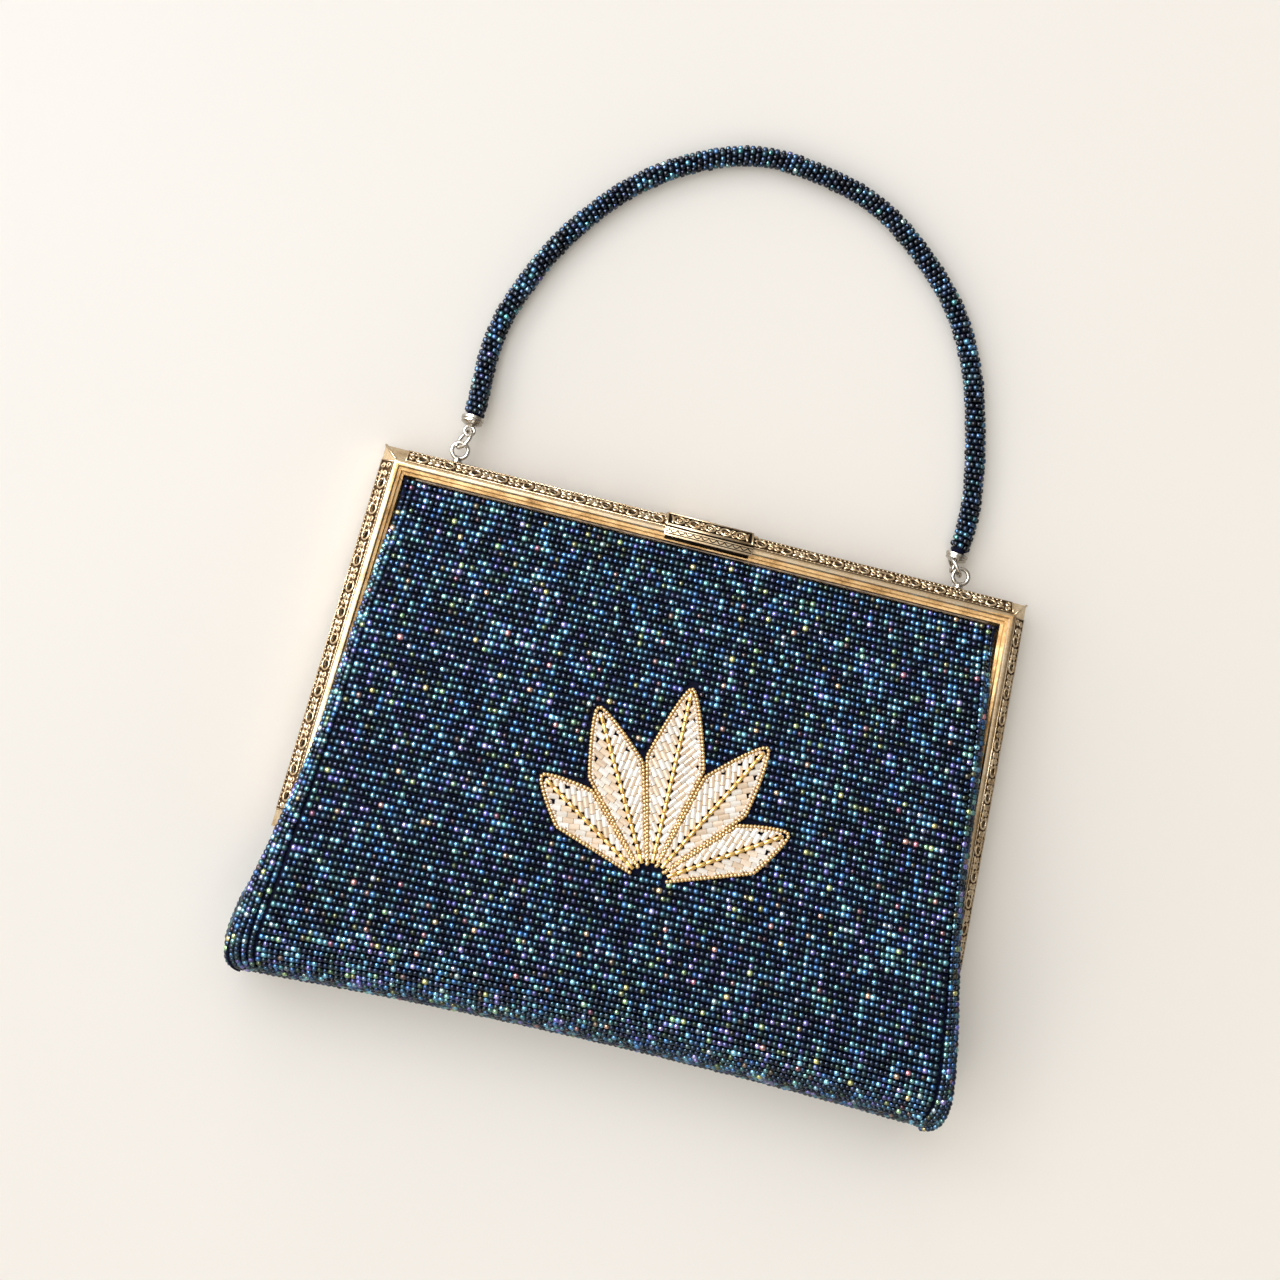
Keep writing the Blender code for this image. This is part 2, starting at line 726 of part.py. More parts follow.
def make_cap(name, side, collection, cutters, material):
    """A stepped cap on the rope's end, with a small eye under it."""
    start, away = cap_frame(side)
    deep, wide = CAP_DEPTH, CAP_RADIUS
    profile = [
        (0.0, 0.0),
        (wide, 0.0),
        (wide, -deep * 0.34),
        (wide * 0.90, -deep * 0.38),
        (wide * 0.90, -deep * 0.46),
        (wide * 0.96, -deep * 0.50),
        (wide * 0.92, -deep * 0.62),
        (wide * 0.34, -deep * 0.94),
        (wide * 0.26, -deep * 1.10),
        (0.0, -deep * 1.10),
    ]
    z = -away
    x = z.orthogonal().normalized()
    placed = matrix_at(start, x, z.cross(x))
    cap = turned_piece(name, profile, placed, 16, collection, material)
    flat = Vector((0.0, 0.0, 1.0)) if side < 0 else away.cross(Vector((0.0, 0.0, 1.0)))
    loop = matrix_at(cap_eye_centre(side), away, flat.cross(away))
    join_with(cap, ring(name + "_eye", loop, CAP_EYE_RADIUS, CAP_EYE_WIRE, 12, cutters), "UNION")
    return cap


def make_jump_ring(name, side, collection, material):
    """A jump ring through the frame's eye and the cap's eye."""
    eye = eye_centre(side)
    cap = cap_eye_centre(side)
    if side < 0:
        along = LEFT_RING_ALONG.normalized()
        side_way = LEFT_RING_SIDE
        middle = cap - along * RING_RADIUS
    else:
        middle = cap + Vector((0.0, 0.0, RING_RADIUS))
        along = Vector((eye.x - middle.x, eye.y - middle.y, 0.0)).normalized()
        side_way = Vector((0.0, 0.0, 1.0))
    placed = matrix_at(middle, along, side_way)
    return ring(name, placed, RING_RADIUS, RING_WIRE, 16, collection, material)


def build():
    """Makes every piece of the bag."""
    drawn, cutters = start_scene()
    beads = make_material("navy_beadwork", (0.035, 0.055, 0.11), 0.0, 0.3)
    gold = make_material("gilt_frame", (0.62, 0.47, 0.26), 1.0, 0.32)
    silver = make_material("silver_fittings", (0.78, 0.74, 0.66), 1.0, 0.25)

    make_body(drawn, beads)
    make_gusset("gusset_left", -1, drawn, beads)
    make_gusset("gusset_right", 1, drawn, beads)
    front = make_frame_half("frame_front", 1, drawn, gold)
    back = make_frame_half("frame_back", -1, drawn, gold)
    cut_openwork(front, 1, cutters)
    cut_openwork(back, -1, cutters)
    clasp_pocket(back, cutters)
    make_flap(drawn, cutters, gold)
    make_clasp_pin(drawn, gold)
    make_handle(drawn, beads)
    for word, side in (("left", -1), ("right", 1)):
        make_hinge("frame_hinge_" + word, side, drawn, cutters, gold)
        make_eye("frame_eye_" + word, side, drawn, cutters, silver)
        make_cap("handle_cap_" + word, side, drawn, cutters, silver)
        make_jump_ring("jump_ring_" + word, side, drawn, silver)


build()
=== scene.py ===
"""Dresses a beaded evening bag: seed beads, a bugle bead fan, and a gilt openwork frame."""
import logging
import math
from dataclasses import dataclass, field
from enum import Enum
from functools import cache
from typing import Callable, Iterable, Sequence

import bmesh
import bpy
import numpy as np
from mathutils import Matrix, Vector


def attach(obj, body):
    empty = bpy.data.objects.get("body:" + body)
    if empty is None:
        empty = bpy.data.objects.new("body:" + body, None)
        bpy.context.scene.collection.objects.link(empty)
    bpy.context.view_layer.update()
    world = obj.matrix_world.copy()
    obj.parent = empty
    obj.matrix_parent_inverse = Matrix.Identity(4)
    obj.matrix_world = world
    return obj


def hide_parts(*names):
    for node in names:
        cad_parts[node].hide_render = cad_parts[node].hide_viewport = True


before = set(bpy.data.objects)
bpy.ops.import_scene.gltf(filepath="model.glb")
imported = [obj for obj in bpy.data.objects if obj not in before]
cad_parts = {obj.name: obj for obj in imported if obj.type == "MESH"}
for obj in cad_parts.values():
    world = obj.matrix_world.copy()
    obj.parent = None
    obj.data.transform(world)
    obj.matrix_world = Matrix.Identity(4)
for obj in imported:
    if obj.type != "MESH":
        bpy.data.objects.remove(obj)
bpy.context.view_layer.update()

LOG = logging.getLogger("beaded_bag")
MM = 0.001
# Points nearer than these are merged: in the solids' loose triangles, and in what is made here
SOLID_MERGE = 0.5e-6
MERGE = 1e-7
# In a solid's copy, faces within the first angle are joined, and edges over the second are rounded
FLAT_ANGLE = math.radians(1.5)
EDGE_ANGLE = math.radians(14)
# Share of a bead's cell in its map that stays free at each side
CELL_MARGIN = 0.1
# Radians that a Wave texture runs through for each unit of its scale
WAVE_RATE = 20.0
# Settings of a Mix node that multiplies the colours at its inputs 6 and 7
MULTIPLY_COLOURS = {"data_type": "RGBA", "blend_type": "MULTIPLY", 0: 1.0}


# Colours and nodes


def linear(code: str) -> tuple[float, float, float, float]:
    """Turns an sRGB hex colour into linear red, green, blue and alpha.

    Args:
        code: Six hex digits.

    Returns:
        The colour as a node socket takes it.
    """
    parts = [int(code[k:k + 2], 16) / 255 for k in (0, 2, 4)]
    return (*[c / 12.92 if c <= 0.04045 else ((c + 0.055) / 1.055) ** 2.4 for c in parts], 1.0)


def add_node(tree: bpy.types.NodeTree, kind: str, values: dict | None = None, **links) -> bpy.types.Node:
    """Adds a node with its settings and links.

    Args:
        tree: The material's node tree.
        kind: Node type without its ShaderNode prefix.
        values: Properties by name, and inputs by number or by name.
        links: Output sockets by input name, or by i and the input's number.

    Returns:
        The new node.
    """
    node = tree.nodes.new("ShaderNode" + kind)
    for key, value in (values or {}).items():
        if isinstance(key, int) or key in node.inputs:
            node.inputs[key].default_value = value
        else:
            setattr(node, key, value)
    for key, socket in links.items():
        name = int(key[1:]) if key[0] == "i" and key[1:].isdigit() else key.replace("_", " ")
        tree.links.new(socket, node.inputs[name])
    return node


def ramp(tree: bpy.types.NodeTree, source: bpy.types.NodeSocket, stops: Sequence[tuple[float, str]],
         stepped: bool = False) -> bpy.types.NodeSocket:
    """Adds a colour ramp.

    Args:
        tree: The material's node tree.
        source: What the ramp reads.
        stops: Place and hex colour of each stop.
        stepped: Whether colours change at once instead of blending.

    Returns:
        The ramp's colour.
    """
    node = add_node(tree, "ValToRGB", None, i0=source)
    band = node.color_ramp
    band.interpolation = "CONSTANT" if stepped else "LINEAR"
    while len(band.elements) < len(stops):
        band.elements.new(1.0)
    for element, (place, code) in zip(band.elements, stops):
        element.position = place
        element.color = linear(code)
    return node.outputs[0]


def start_material(name: str,
                   settings: dict) -> tuple[bpy.types.Material, bpy.types.NodeTree, bpy.types.Node]:
    """Makes a Principled material with its constant values on the shader's own sockets.

    Args:
        name: The material's name.
        settings: Values by socket name.

    Returns:
        The material, its tree and its shader.
    """
    material = bpy.data.materials.new(name)
    material.use_nodes = True
    tree = material.node_tree
    shader = tree.nodes["Principled BSDF"]
    for key, value in settings.items():
        shader.inputs[key].default_value = value
    return material, tree, shader


class BeadTone(Enum):
    """Where a lot of seed beads comes from, as its colours differ a little."""

    PANEL = "panel"
    ROPE = "rope"


@dataclass(frozen=True)
class IrisSeedBead:
    """Dark navy pressed glass with an iris coat: a nearly black bead that glints in many colours."""

    tone: BeadTone = BeadTone.PANEL
    roughness: float = 0.30
    polish: tuple[float, float] = (0.6, 1.7)

    @cache
    def material(self) -> bpy.types.Material:
        """Makes the glass once, coloured bead by bead from the mesh's own numbers.

        Returns:
            The material.
        """
        material, tree, shader = start_material("iris_glass_" + self.tone.value, {
            "Metallic": 0.85, "Coat Weight": 0.25, "Coat Roughness": 0.08, "Coat IOR": 1.6,
        })
        numbers = add_node(tree, "Attribute", {"attribute_name": "bead"})
        split = add_node(tree, "SeparateXYZ", None, i0=numbers.outputs["Vector"])
        # The coat's colour goes through the order of a thin film: mostly blue, then teal and violet
        hue = ramp(tree, split.outputs[0], self.hues())
        # Only a few beads in a row show their full colour, so the second number darkens the others
        depth = ramp(tree, split.outputs[1],
                     [(0.0, "28323E"), (0.35, "48525C"), (0.7, "959CA8"), (1.0, "FFFFFF")])
        mixed = add_node(tree, "Mix", MULTIPLY_COLOURS, i6=hue, i7=depth)
        tree.links.new(mixed.outputs[2], shader.inputs["Base Color"])
        dull, bright = (self.roughness * share for share in self.polish)
        rough = add_node(tree, "MapRange", {3: dull, 4: bright}, i0=split.outputs[2])
        tree.links.new(rough.outputs[0], shader.inputs["Roughness"])
        return material

    def hues(self) -> list[tuple[float, str]]:
        """Stops of the coat's colours."""
        if self.tone is BeadTone.ROPE:
            return [(0.0, "2A3648"), (0.35, "3C5C80"), (0.60, "507C98"), (0.78, "4E8A86"), (0.90, "5C568C"),
                    (1.0, "90B8AC")]
        return [(0.0, "31507E"), (0.20, "4E86B8"), (0.40, "8CC8DE"), (0.54, "4A7C86"), (0.68, "86BCB0"),
                (0.78, "6A6CB4"), (0.87, "A79CD6"), (0.93, "94C08C"), (0.962, "D2CC84"), (0.985, "C67C92"),
                (1.0, "E2BC94")]


@dataclass(frozen=True)
class BugleGlass:
    """Cut glass tubes and small seeds, opaque white, cream or lined with gold."""

    roughness: tuple[float, float] = (0.18, 0.38)

    @cache
    def material(self) -> bpy.types.Material:
        """Makes the glass once, with its colour chosen by the bead's first number.

        Returns:
            The material.
        """
        material, tree, shader = start_material("bugle_glass", {"Coat Weight": 0.7, "Coat Roughness": 0.08})
        numbers = add_node(tree, "Attribute", {"attribute_name": "bead"})
        split = add_node(tree, "SeparateXYZ", None, i0=numbers.outputs["Vector"])
        # Under 0.4 white, to 0.6 cream, to 0.8 matte gold seed, above it bright gold-lined tube
        body = ramp(tree, split.outputs[0],
                    [(0.0, "FFFDF8"), (0.4, "FBE8D0"), (0.6, "D2AE70"), (0.8, "EEC470")], True)
        metal = ramp(tree, split.outputs[0], [(0.0, "000000"), (0.6, "909090"), (0.8, "C0C0C0")], True)
        shade = ramp(tree, split.outputs[1], [(0.0, "E6E0D8"), (0.6, "FAF6F0"), (1.0, "FFFFFF")])
        mixed = add_node(tree, "Mix", MULTIPLY_COLOURS, i6=body, i7=shade)
        tree.links.new(mixed.outputs[2], shader.inputs["Base Color"])
        tree.links.new(metal, shader.inputs["Metallic"])
        low, high = self.roughness
        rough = add_node(tree, "MapRange", {3: low, 4: high}, i0=split.outputs[2])
        tree.links.new(rough.outputs[0], shader.inputs["Roughness"])
        return material


@dataclass(frozen=True)
class WovenBacking:
    """Black-navy silk that the beads are sewn to: a plain weave that shows as dark gaps."""

    name: str = "navy_silk_backing"
    dark: str = "04071E"
    light: str = "0A1034"
    # Real silk's threads are too fine to show, so they are drawn this coarse
    thread: float = 1.1 * MM
    thread_height: float = 0.1 * MM

    @cache
    def material(self) -> bpy.types.Material:
        """Makes the cloth once, with its threads as a weave of two waves.

        Returns:
            The material.
        """
        material, tree, shader = start_material(self.name, {"Roughness": 0.9, "Specular IOR Level": 0.08})
        place = add_node(tree, "TexCoord").outputs["Object"]
        scale = math.tau / WAVE_RATE / (2 * self.thread)
        across, along = (
            add_node(tree, "TexWave", {"Scale": scale, "bands_direction": way}, Vector=place).outputs[1]
            for way in ("X", "Y"))
        weave = add_node(tree, "Math", {"operation": "MULTIPLY"}, i0=across, i1=along).outputs[0]
        tree.links.new(ramp(tree, weave, [(0.0, self.dark), (1.0, self.light)]), shader.inputs["Base Color"])
        bump = add_node(tree, "Bump", {"Strength": 0.4, "Distance": self.thread_height}, Height=weave)
        tree.links.new(bump.outputs[0], shader.inputs["Normal"])
        return material


@dataclass(frozen=True)
class PlatedMetal:
    """Plated brass, cast and hand finished: bright where it is rubbed and browner in the hollows."""

    name: str
    bright: str
    worn: str
    deep: str
    roughness: float
    patch: float = 5.88 * MM
    scratch: float = 0.667 * MM
    scratch_depth: float = 0.02 * MM

    @cache
    def material(self) -> bpy.types.Material:
        """Makes the metal once, with patches of wear about 6 mm across and fine scratches.

        Returns:
            The material.
        """
        material, tree, shader = start_material(self.name, {"Metallic": 1.0})
        place = add_node(tree, "TexCoord").outputs["Object"]
        patch = add_node(tree, "TexNoise", {"Scale": 1 / self.patch, "Detail": 6.0, "Roughness": 0.62},
                         Vector=place)
        fine = add_node(tree, "TexNoise", {"Scale": 1 / self.scratch, "Detail": 3.0}, Vector=place)
        both = add_node(tree, "Mix", {0: 0.35}, i2=patch.outputs[0], i3=fine.outputs[0])
        tone = ramp(tree, both.outputs[0], [(0.30, self.deep), (0.46, self.worn), (0.62, self.bright)])
        tree.links.new(tone, shader.inputs["Base Color"])
        # Rubbed patches are smoother than the hollows
        dull, smooth = self.roughness * 1.5, self.roughness * 0.7
        rough = add_node(tree, "MapRange", {1: 0.3, 2: 0.7, 3: dull, 4: smooth}, i0=both.outputs[0])
        tree.links.new(rough.outputs[0], shader.inputs["Roughness"])
        bump = add_node(tree, "Bump", {"Strength": 0.2, "Distance": self.scratch_depth},
                        Height=fine.outputs[0])
        tree.links.new(bump.outputs[0], shader.inputs["Normal"])
        return material


SILVER_GILT = PlatedMetal("silver_gilt", "D0BFA2", "B49C7A", "806644", 0.36)
YELLOW_GILT = PlatedMetal("yellow_gilt", "C4A476", "A88658", "7C5C38", 0.58)
# Painted shade: dark gilt for the sunken ground between the frame's scrolls, where shade falls
SHADE_PAINTED_GILT = PlatedMetal("shade_painted_gilt", "5A4228", "38281A", "160F08", 0.60)
SILVER_PLATE = PlatedMetal("silver_plate", "C4BEB4", "A49E94", "766F66", 0.22)
# Painted shadow: near black for the shade under and round the clasp flap
SHADOW_PAINTED_BLACK = PlatedMetal("shadow_painted_black", "241C14", "18120C", "0C0906", 0.60)


# Mesh helpers


def finish_piece(name: str, source: bmesh.types.BMesh, materials: Sequence[bpy.types.Material],
                 body: str = "bag", smooth: float | None = 40.0) -> bpy.types.Object:
    """Turns a bmesh into a piece of the bag that rides on a body.

    Args:
        name: The piece's name.
        source: Its mesh, which is freed.
        materials: Its materials.
        body: The body that it moves with.
        smooth: Edges sharper than this many degrees stay sharp, and None keeps facets.

    Returns:
        The new object.
    """
    mesh = bpy.data.meshes.new(name)
    source.to_mesh(mesh)
    source.free()
    return place_piece(name, mesh, materials, body, smooth)


def place_piece(name: str, mesh: bpy.types.Mesh, materials: Sequence[bpy.types.Material],
                body: str = "bag", smooth: float | None = 40.0) -> bpy.types.Object:
    """Links a mesh as a piece at the origin that rides on a body.

    Args:
        name: The piece's name.
        mesh: Its mesh.
        materials: Its materials.
        body: The body that it moves with.
        smooth: Edges sharper than this many degrees stay sharp, and None keeps facets.

    Returns:
        The new object.
    """
    for material in materials:
        mesh.materials.append(material)
    if smooth is not None:
        mesh.shade_smooth()
        if smooth < 180:
            mesh.set_sharp_from_angle(angle=math.radians(smooth))
    piece = bpy.data.objects.new(name, mesh)
    bpy.context.scene.collection.objects.link(piece)
    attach(piece, body)
    LOG.info("%s: %d faces", name, len(mesh.polygons))
    return piece


def copy_of_node(node: str, rounding: float, segments: int = 2) -> bmesh.types.BMesh:
    """Copies a solid, merges its triangles into faces and rounds its sharp edges.

    Args:
        node: Name of the solid.
        rounding: Width of the rounding.
        segments: Its steps.

    Returns:
        The rounded copy.
    """
    bm = bmesh.new()
    bm.from_mesh(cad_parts[node].data)
    bmesh.ops.transform(bm, matrix=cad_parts[node].matrix_world, verts=bm.verts)
    bmesh.ops.remove_doubles(bm, verts=bm.verts, dist=SOLID_MERGE)
    bmesh.ops.dissolve_limit(bm, angle_limit=FLAT_ANGLE, verts=bm.verts, edges=bm.edges)
    sharp = [e for e in bm.edges if len(e.link_faces) == 2 and e.calc_face_angle(0.0) > EDGE_ANGLE]
    bmesh.ops.bevel(bm, geom=sharp, offset=rounding, segments=segments, profile=0.5, affect="EDGES",
                    clamp_overlap=True, material=-1)
    return bm


@dataclass(frozen=True)
class Template:
    """A small closed shape to repeat: its points, faces and a place in a cell for each corner."""

    points: np.ndarray
    faces: list[tuple[int, ...]]
    corners: np.ndarray

    @classmethod
    def turned(cls, profile: Sequence[tuple[float, float]], sides: int) -> "Template":
        """Turns a profile about X and closes its ends.

        Args:
            profile: Places (along X, radius) from one end to the other.
            sides: Steps round.

        Returns:
            The closed shape.
        """
        bm = bmesh.new()
        chain = [bm.verts.new((x, radius, 0.0)) for x, radius in profile]
        edges = [bm.edges.new(pair) for pair in zip(chain, chain[1:])]
        bmesh.ops.spin(bm, geom=chain + edges, cent=(0, 0, 0), axis=(1, 0, 0), angle=math.tau, steps=sides,
                       use_merge=True)
        bmesh.ops.remove_doubles(bm, verts=bm.verts, dist=MERGE)
        bmesh.ops.holes_fill(bm, edges=[e for e in bm.edges if e.is_boundary], sides=0)
        bmesh.ops.recalc_face_normals(bm, faces=bm.faces)
        bm.verts.index_update()
        points = np.array([v.co[:] for v in bm.verts])
        faces = [tuple(v.index for v in f.verts) for f in bm.faces]
        bm.free()
        order = np.concatenate([np.array(f) for f in faces])
        round_share = np.arctan2(points[order, 2], points[order, 1]) / math.tau + 0.5
        low, high = points[:, 0].min(), points[:, 0].max()
        along_share = (points[order, 0] - low) / (high - low)
        corners = np.stack([round_share, along_share], axis=1) * (1 - 2 * CELL_MARGIN) + CELL_MARGIN
        return cls(points, faces, corners)


@dataclass
class BeadLot:
    """Many beads to be made one mesh: where each lies, which way, how large, and its numbers."""

    centres: list[np.ndarray] = field(default_factory=list)
    along: list[np.ndarray] = field(default_factory=list)
    out: list[np.ndarray] = field(default_factory=list)
    sizes: list[np.ndarray] = field(default_factory=list)
    numbers: list[np.ndarray] = field(default_factory=list)

    def add(self, centres: np.ndarray, along: np.ndarray, out: np.ndarray, sizes: np.ndarray,
            numbers: np.ndarray) -> None:
        """Adds beads. Each argument is an array with a row for each bead.

        Args:
            centres: The beads' middles.
            along: Their own long directions.
            out: Which way is out of the work.
            sizes: What scales each bead along, aside and out.
            numbers: Each bead's colour, depth and polish, from 0 to 1.
        """
        self.centres.append(centres)
        self.along.append(along)
        self.out.append(out)
        self.sizes.append(sizes)
        self.numbers.append(numbers)

    def mesh(self, name: str, shape: Template) -> bpy.types.Mesh:
        """Joins all beads into one mesh, with their numbers as an attribute and a cell each in the map.

        Args:
            name: The mesh's name.
            shape: The bead to repeat.

        Returns:
            The joined mesh.
        """
        centres, along, out, sizes, numbers = (np.concatenate(part) for part in (
            self.centres, self.along, self.out, self.sizes, self.numbers))
        along = along / np.linalg.norm(along, axis=1, keepdims=True)
        side = np.cross(out, along)
        side /= np.linalg.norm(side, axis=1, keepdims=True)
        turned = np.stack([along, side, np.cross(along, side)], axis=2)
        count, per = len(centres), len(shape.points)
        points = np.einsum("nij,nkj->nki", turned, shape.points[None] * sizes[:, None]) + centres[:, None]
        base = np.array([k for face in shape.faces for k in face])
        order = (base[None] + (np.arange(count) * per)[:, None]).ravel()
        totals = np.tile([len(face) for face in shape.faces], count)
        mesh = bpy.data.meshes.new(name)
        mesh.vertices.add(count * per)
        mesh.vertices.foreach_set("co", points.astype(np.float32).ravel())
        mesh.loops.add(len(order))
        mesh.loops.foreach_set("vertex_index", order.astype(np.int32))
        mesh.polygons.add(len(totals))
        starts = np.concatenate([[0], np.cumsum(totals)[:-1]]).astype(np.int32)
        mesh.polygons.foreach_set("loop_start", starts)
        mesh.update(calc_edges=True)
        mesh.validate()
        told = mesh.attributes.new("bead", "FLOAT_VECTOR", "POINT")
        told.data.foreach_set("vector", np.repeat(numbers, per, axis=0).astype(np.float32).ravel())
        across = math.ceil(math.sqrt(count))
        cells = np.stack([np.arange(count) % across, np.arange(count) // across], axis=1)
        places = (cells[:, None] + shape.corners[None]) / across
        mesh.uv_layers.new(name="OFBake").data.foreach_set("uv", places.astype(np.float32).ravel())
        return mesh


def unit(rows: np.ndarray) -> np.ndarray:
    """Scales each row of an array to length one."""
    return rows / np.maximum(np.linalg.norm(rows, axis=-1, keepdims=True), 1e-12)


def read_along(line: np.ndarray, places: np.ndarray, values: np.ndarray) -> np.ndarray:
    """Reads rows of values at places along a line of growing numbers."""
    return np.stack([np.interp(places, line, values[:, k]) for k in range(values.shape[1])], axis=1)


def lengths(points: np.ndarray) -> np.ndarray:
    """Length along a chain of points, at each of them."""
    steps = np.linalg.norm(np.diff(points, axis=0), axis=1)
    return np.concatenate([[0.0], np.cumsum(steps)])


def catmull(values: np.ndarray, places: np.ndarray) -> np.ndarray:
    """Reads a smooth curve through equally spaced rows.

    Args:
        values: Rows of numbers.
        places: Where to read, counted in rows.

    Returns:
        A row for each place.
    """
    last = len(values) - 1
    padded = np.concatenate([[2 * values[0] - values[1]], values, [2 * values[-1] - values[-2]]])
    low = np.clip(np.floor(places).astype(int), 0, last - 1)
    u = (places - low)[:, None]
    a, b, c, d = (padded[low + k] for k in range(4))
    return 0.5 * (2 * b + (c - a) * u + (2 * a - 5 * b + 4 * c - d) * u**2 + (3 * b - a - 3 * c + d) * u**3)


# The bag's form, as its solids have it


@dataclass(frozen=True)
class BagPlane:
    """The plane between the frame's halves, which leans up from the table."""

    lean: float = math.radians(4.0)
    top_y: float = 80.0 * MM
    clear: float = 0.3 * MM
    half_thickness: float = 7.0 * MM
    band: float = 7.6 * MM
    crest_place: float = 0.590

    def top_height(self) -> float:
        """Height of the frame's top edge, with the back's crest just clear of the table."""
        crest = self.crest_place * self.band
        return self.clear + self.half_thickness * math.cos(self.lean) - crest * math.sin(self.lean)

    def axes(self) -> np.ndarray:
        """Rows: across, down the bag and proud of it."""
        s, c = math.sin(self.lean), math.cos(self.lean)
        return np.array([[1.0, 0.0, 0.0], [0.0, -c, s], [0.0, s, c]])

    def place(self, points: np.ndarray) -> np.ndarray:
        """World places of rows of (across, drop, proud)."""
        return np.array([0.0, self.top_y, self.top_height()]) + np.asarray(points) @ self.axes()


PLANE = BagPlane()
SECTION_TABLE = np.array([
    # drop, flare, seam, seam high, tuck high, widest high, shoulder in, shoulder high, crown, sag, lift
    [0.0520, 0.00, 0.00, 0.262, 0.262, 0.262, 0.34, 0.262, 0.262, 0.00, 0.00],
    [0.1200, 0.01, 0.00, 0.262, 0.292, 0.325, 0.36, 0.400, 0.455, 0.04, 0.00],
    [0.2200, 0.06, 0.00, 0.258, 0.345, 0.430, 0.37, 0.580, 0.655, 0.12, 0.00],
    [0.3700, 0.13, 0.00, 0.258, 0.410, 0.535, 0.38, 0.715, 0.840, 0.22, 0.00],
    [0.5200, 0.20, 0.00, 0.258, 0.465, 0.600, 0.40, 0.800, 0.945, 0.32, 0.00],
    [0.6400, 0.34, 0.00, 0.262, 0.490, 0.645, 0.43, 0.855, 1.000, 0.42, 0.00],
    [0.7200, 0.50, 0.07, 0.360, 0.540, 0.685, 0.43, 0.880, 1.015, 0.52, 0.00],
    [0.7850, 0.64, 0.62, 0.540, 0.640, 0.725, 0.40, 0.885, 1.010, 0.62, 0.00],
    [0.8500, 0.78, 0.88, 0.615, 0.670, 0.730, 0.37, 0.865, 0.975, 0.74, 0.00],
    [0.9000, 0.89, 0.94, 0.570, 0.620, 0.675, 0.37, 0.795, 0.890, 0.84, 0.00],
    [0.9400, 0.96, 0.95, 0.475, 0.520, 0.570, 0.37, 0.665, 0.745, 0.92, 0.00],
    [0.9700, 0.94, 0.95, 0.345, 0.380, 0.415, 0.36, 0.490, 0.550, 0.97, 0.02],
    [0.9900, 0.82, 0.94, 0.195, 0.213, 0.235, 0.34, 0.280, 0.315, 1.00, 0.07],
    [1.0000, 0.60, 0.92, 0.000, 0.000, 0.000, 0.32, 0.000, 0.000, 1.00, 0.15],
])


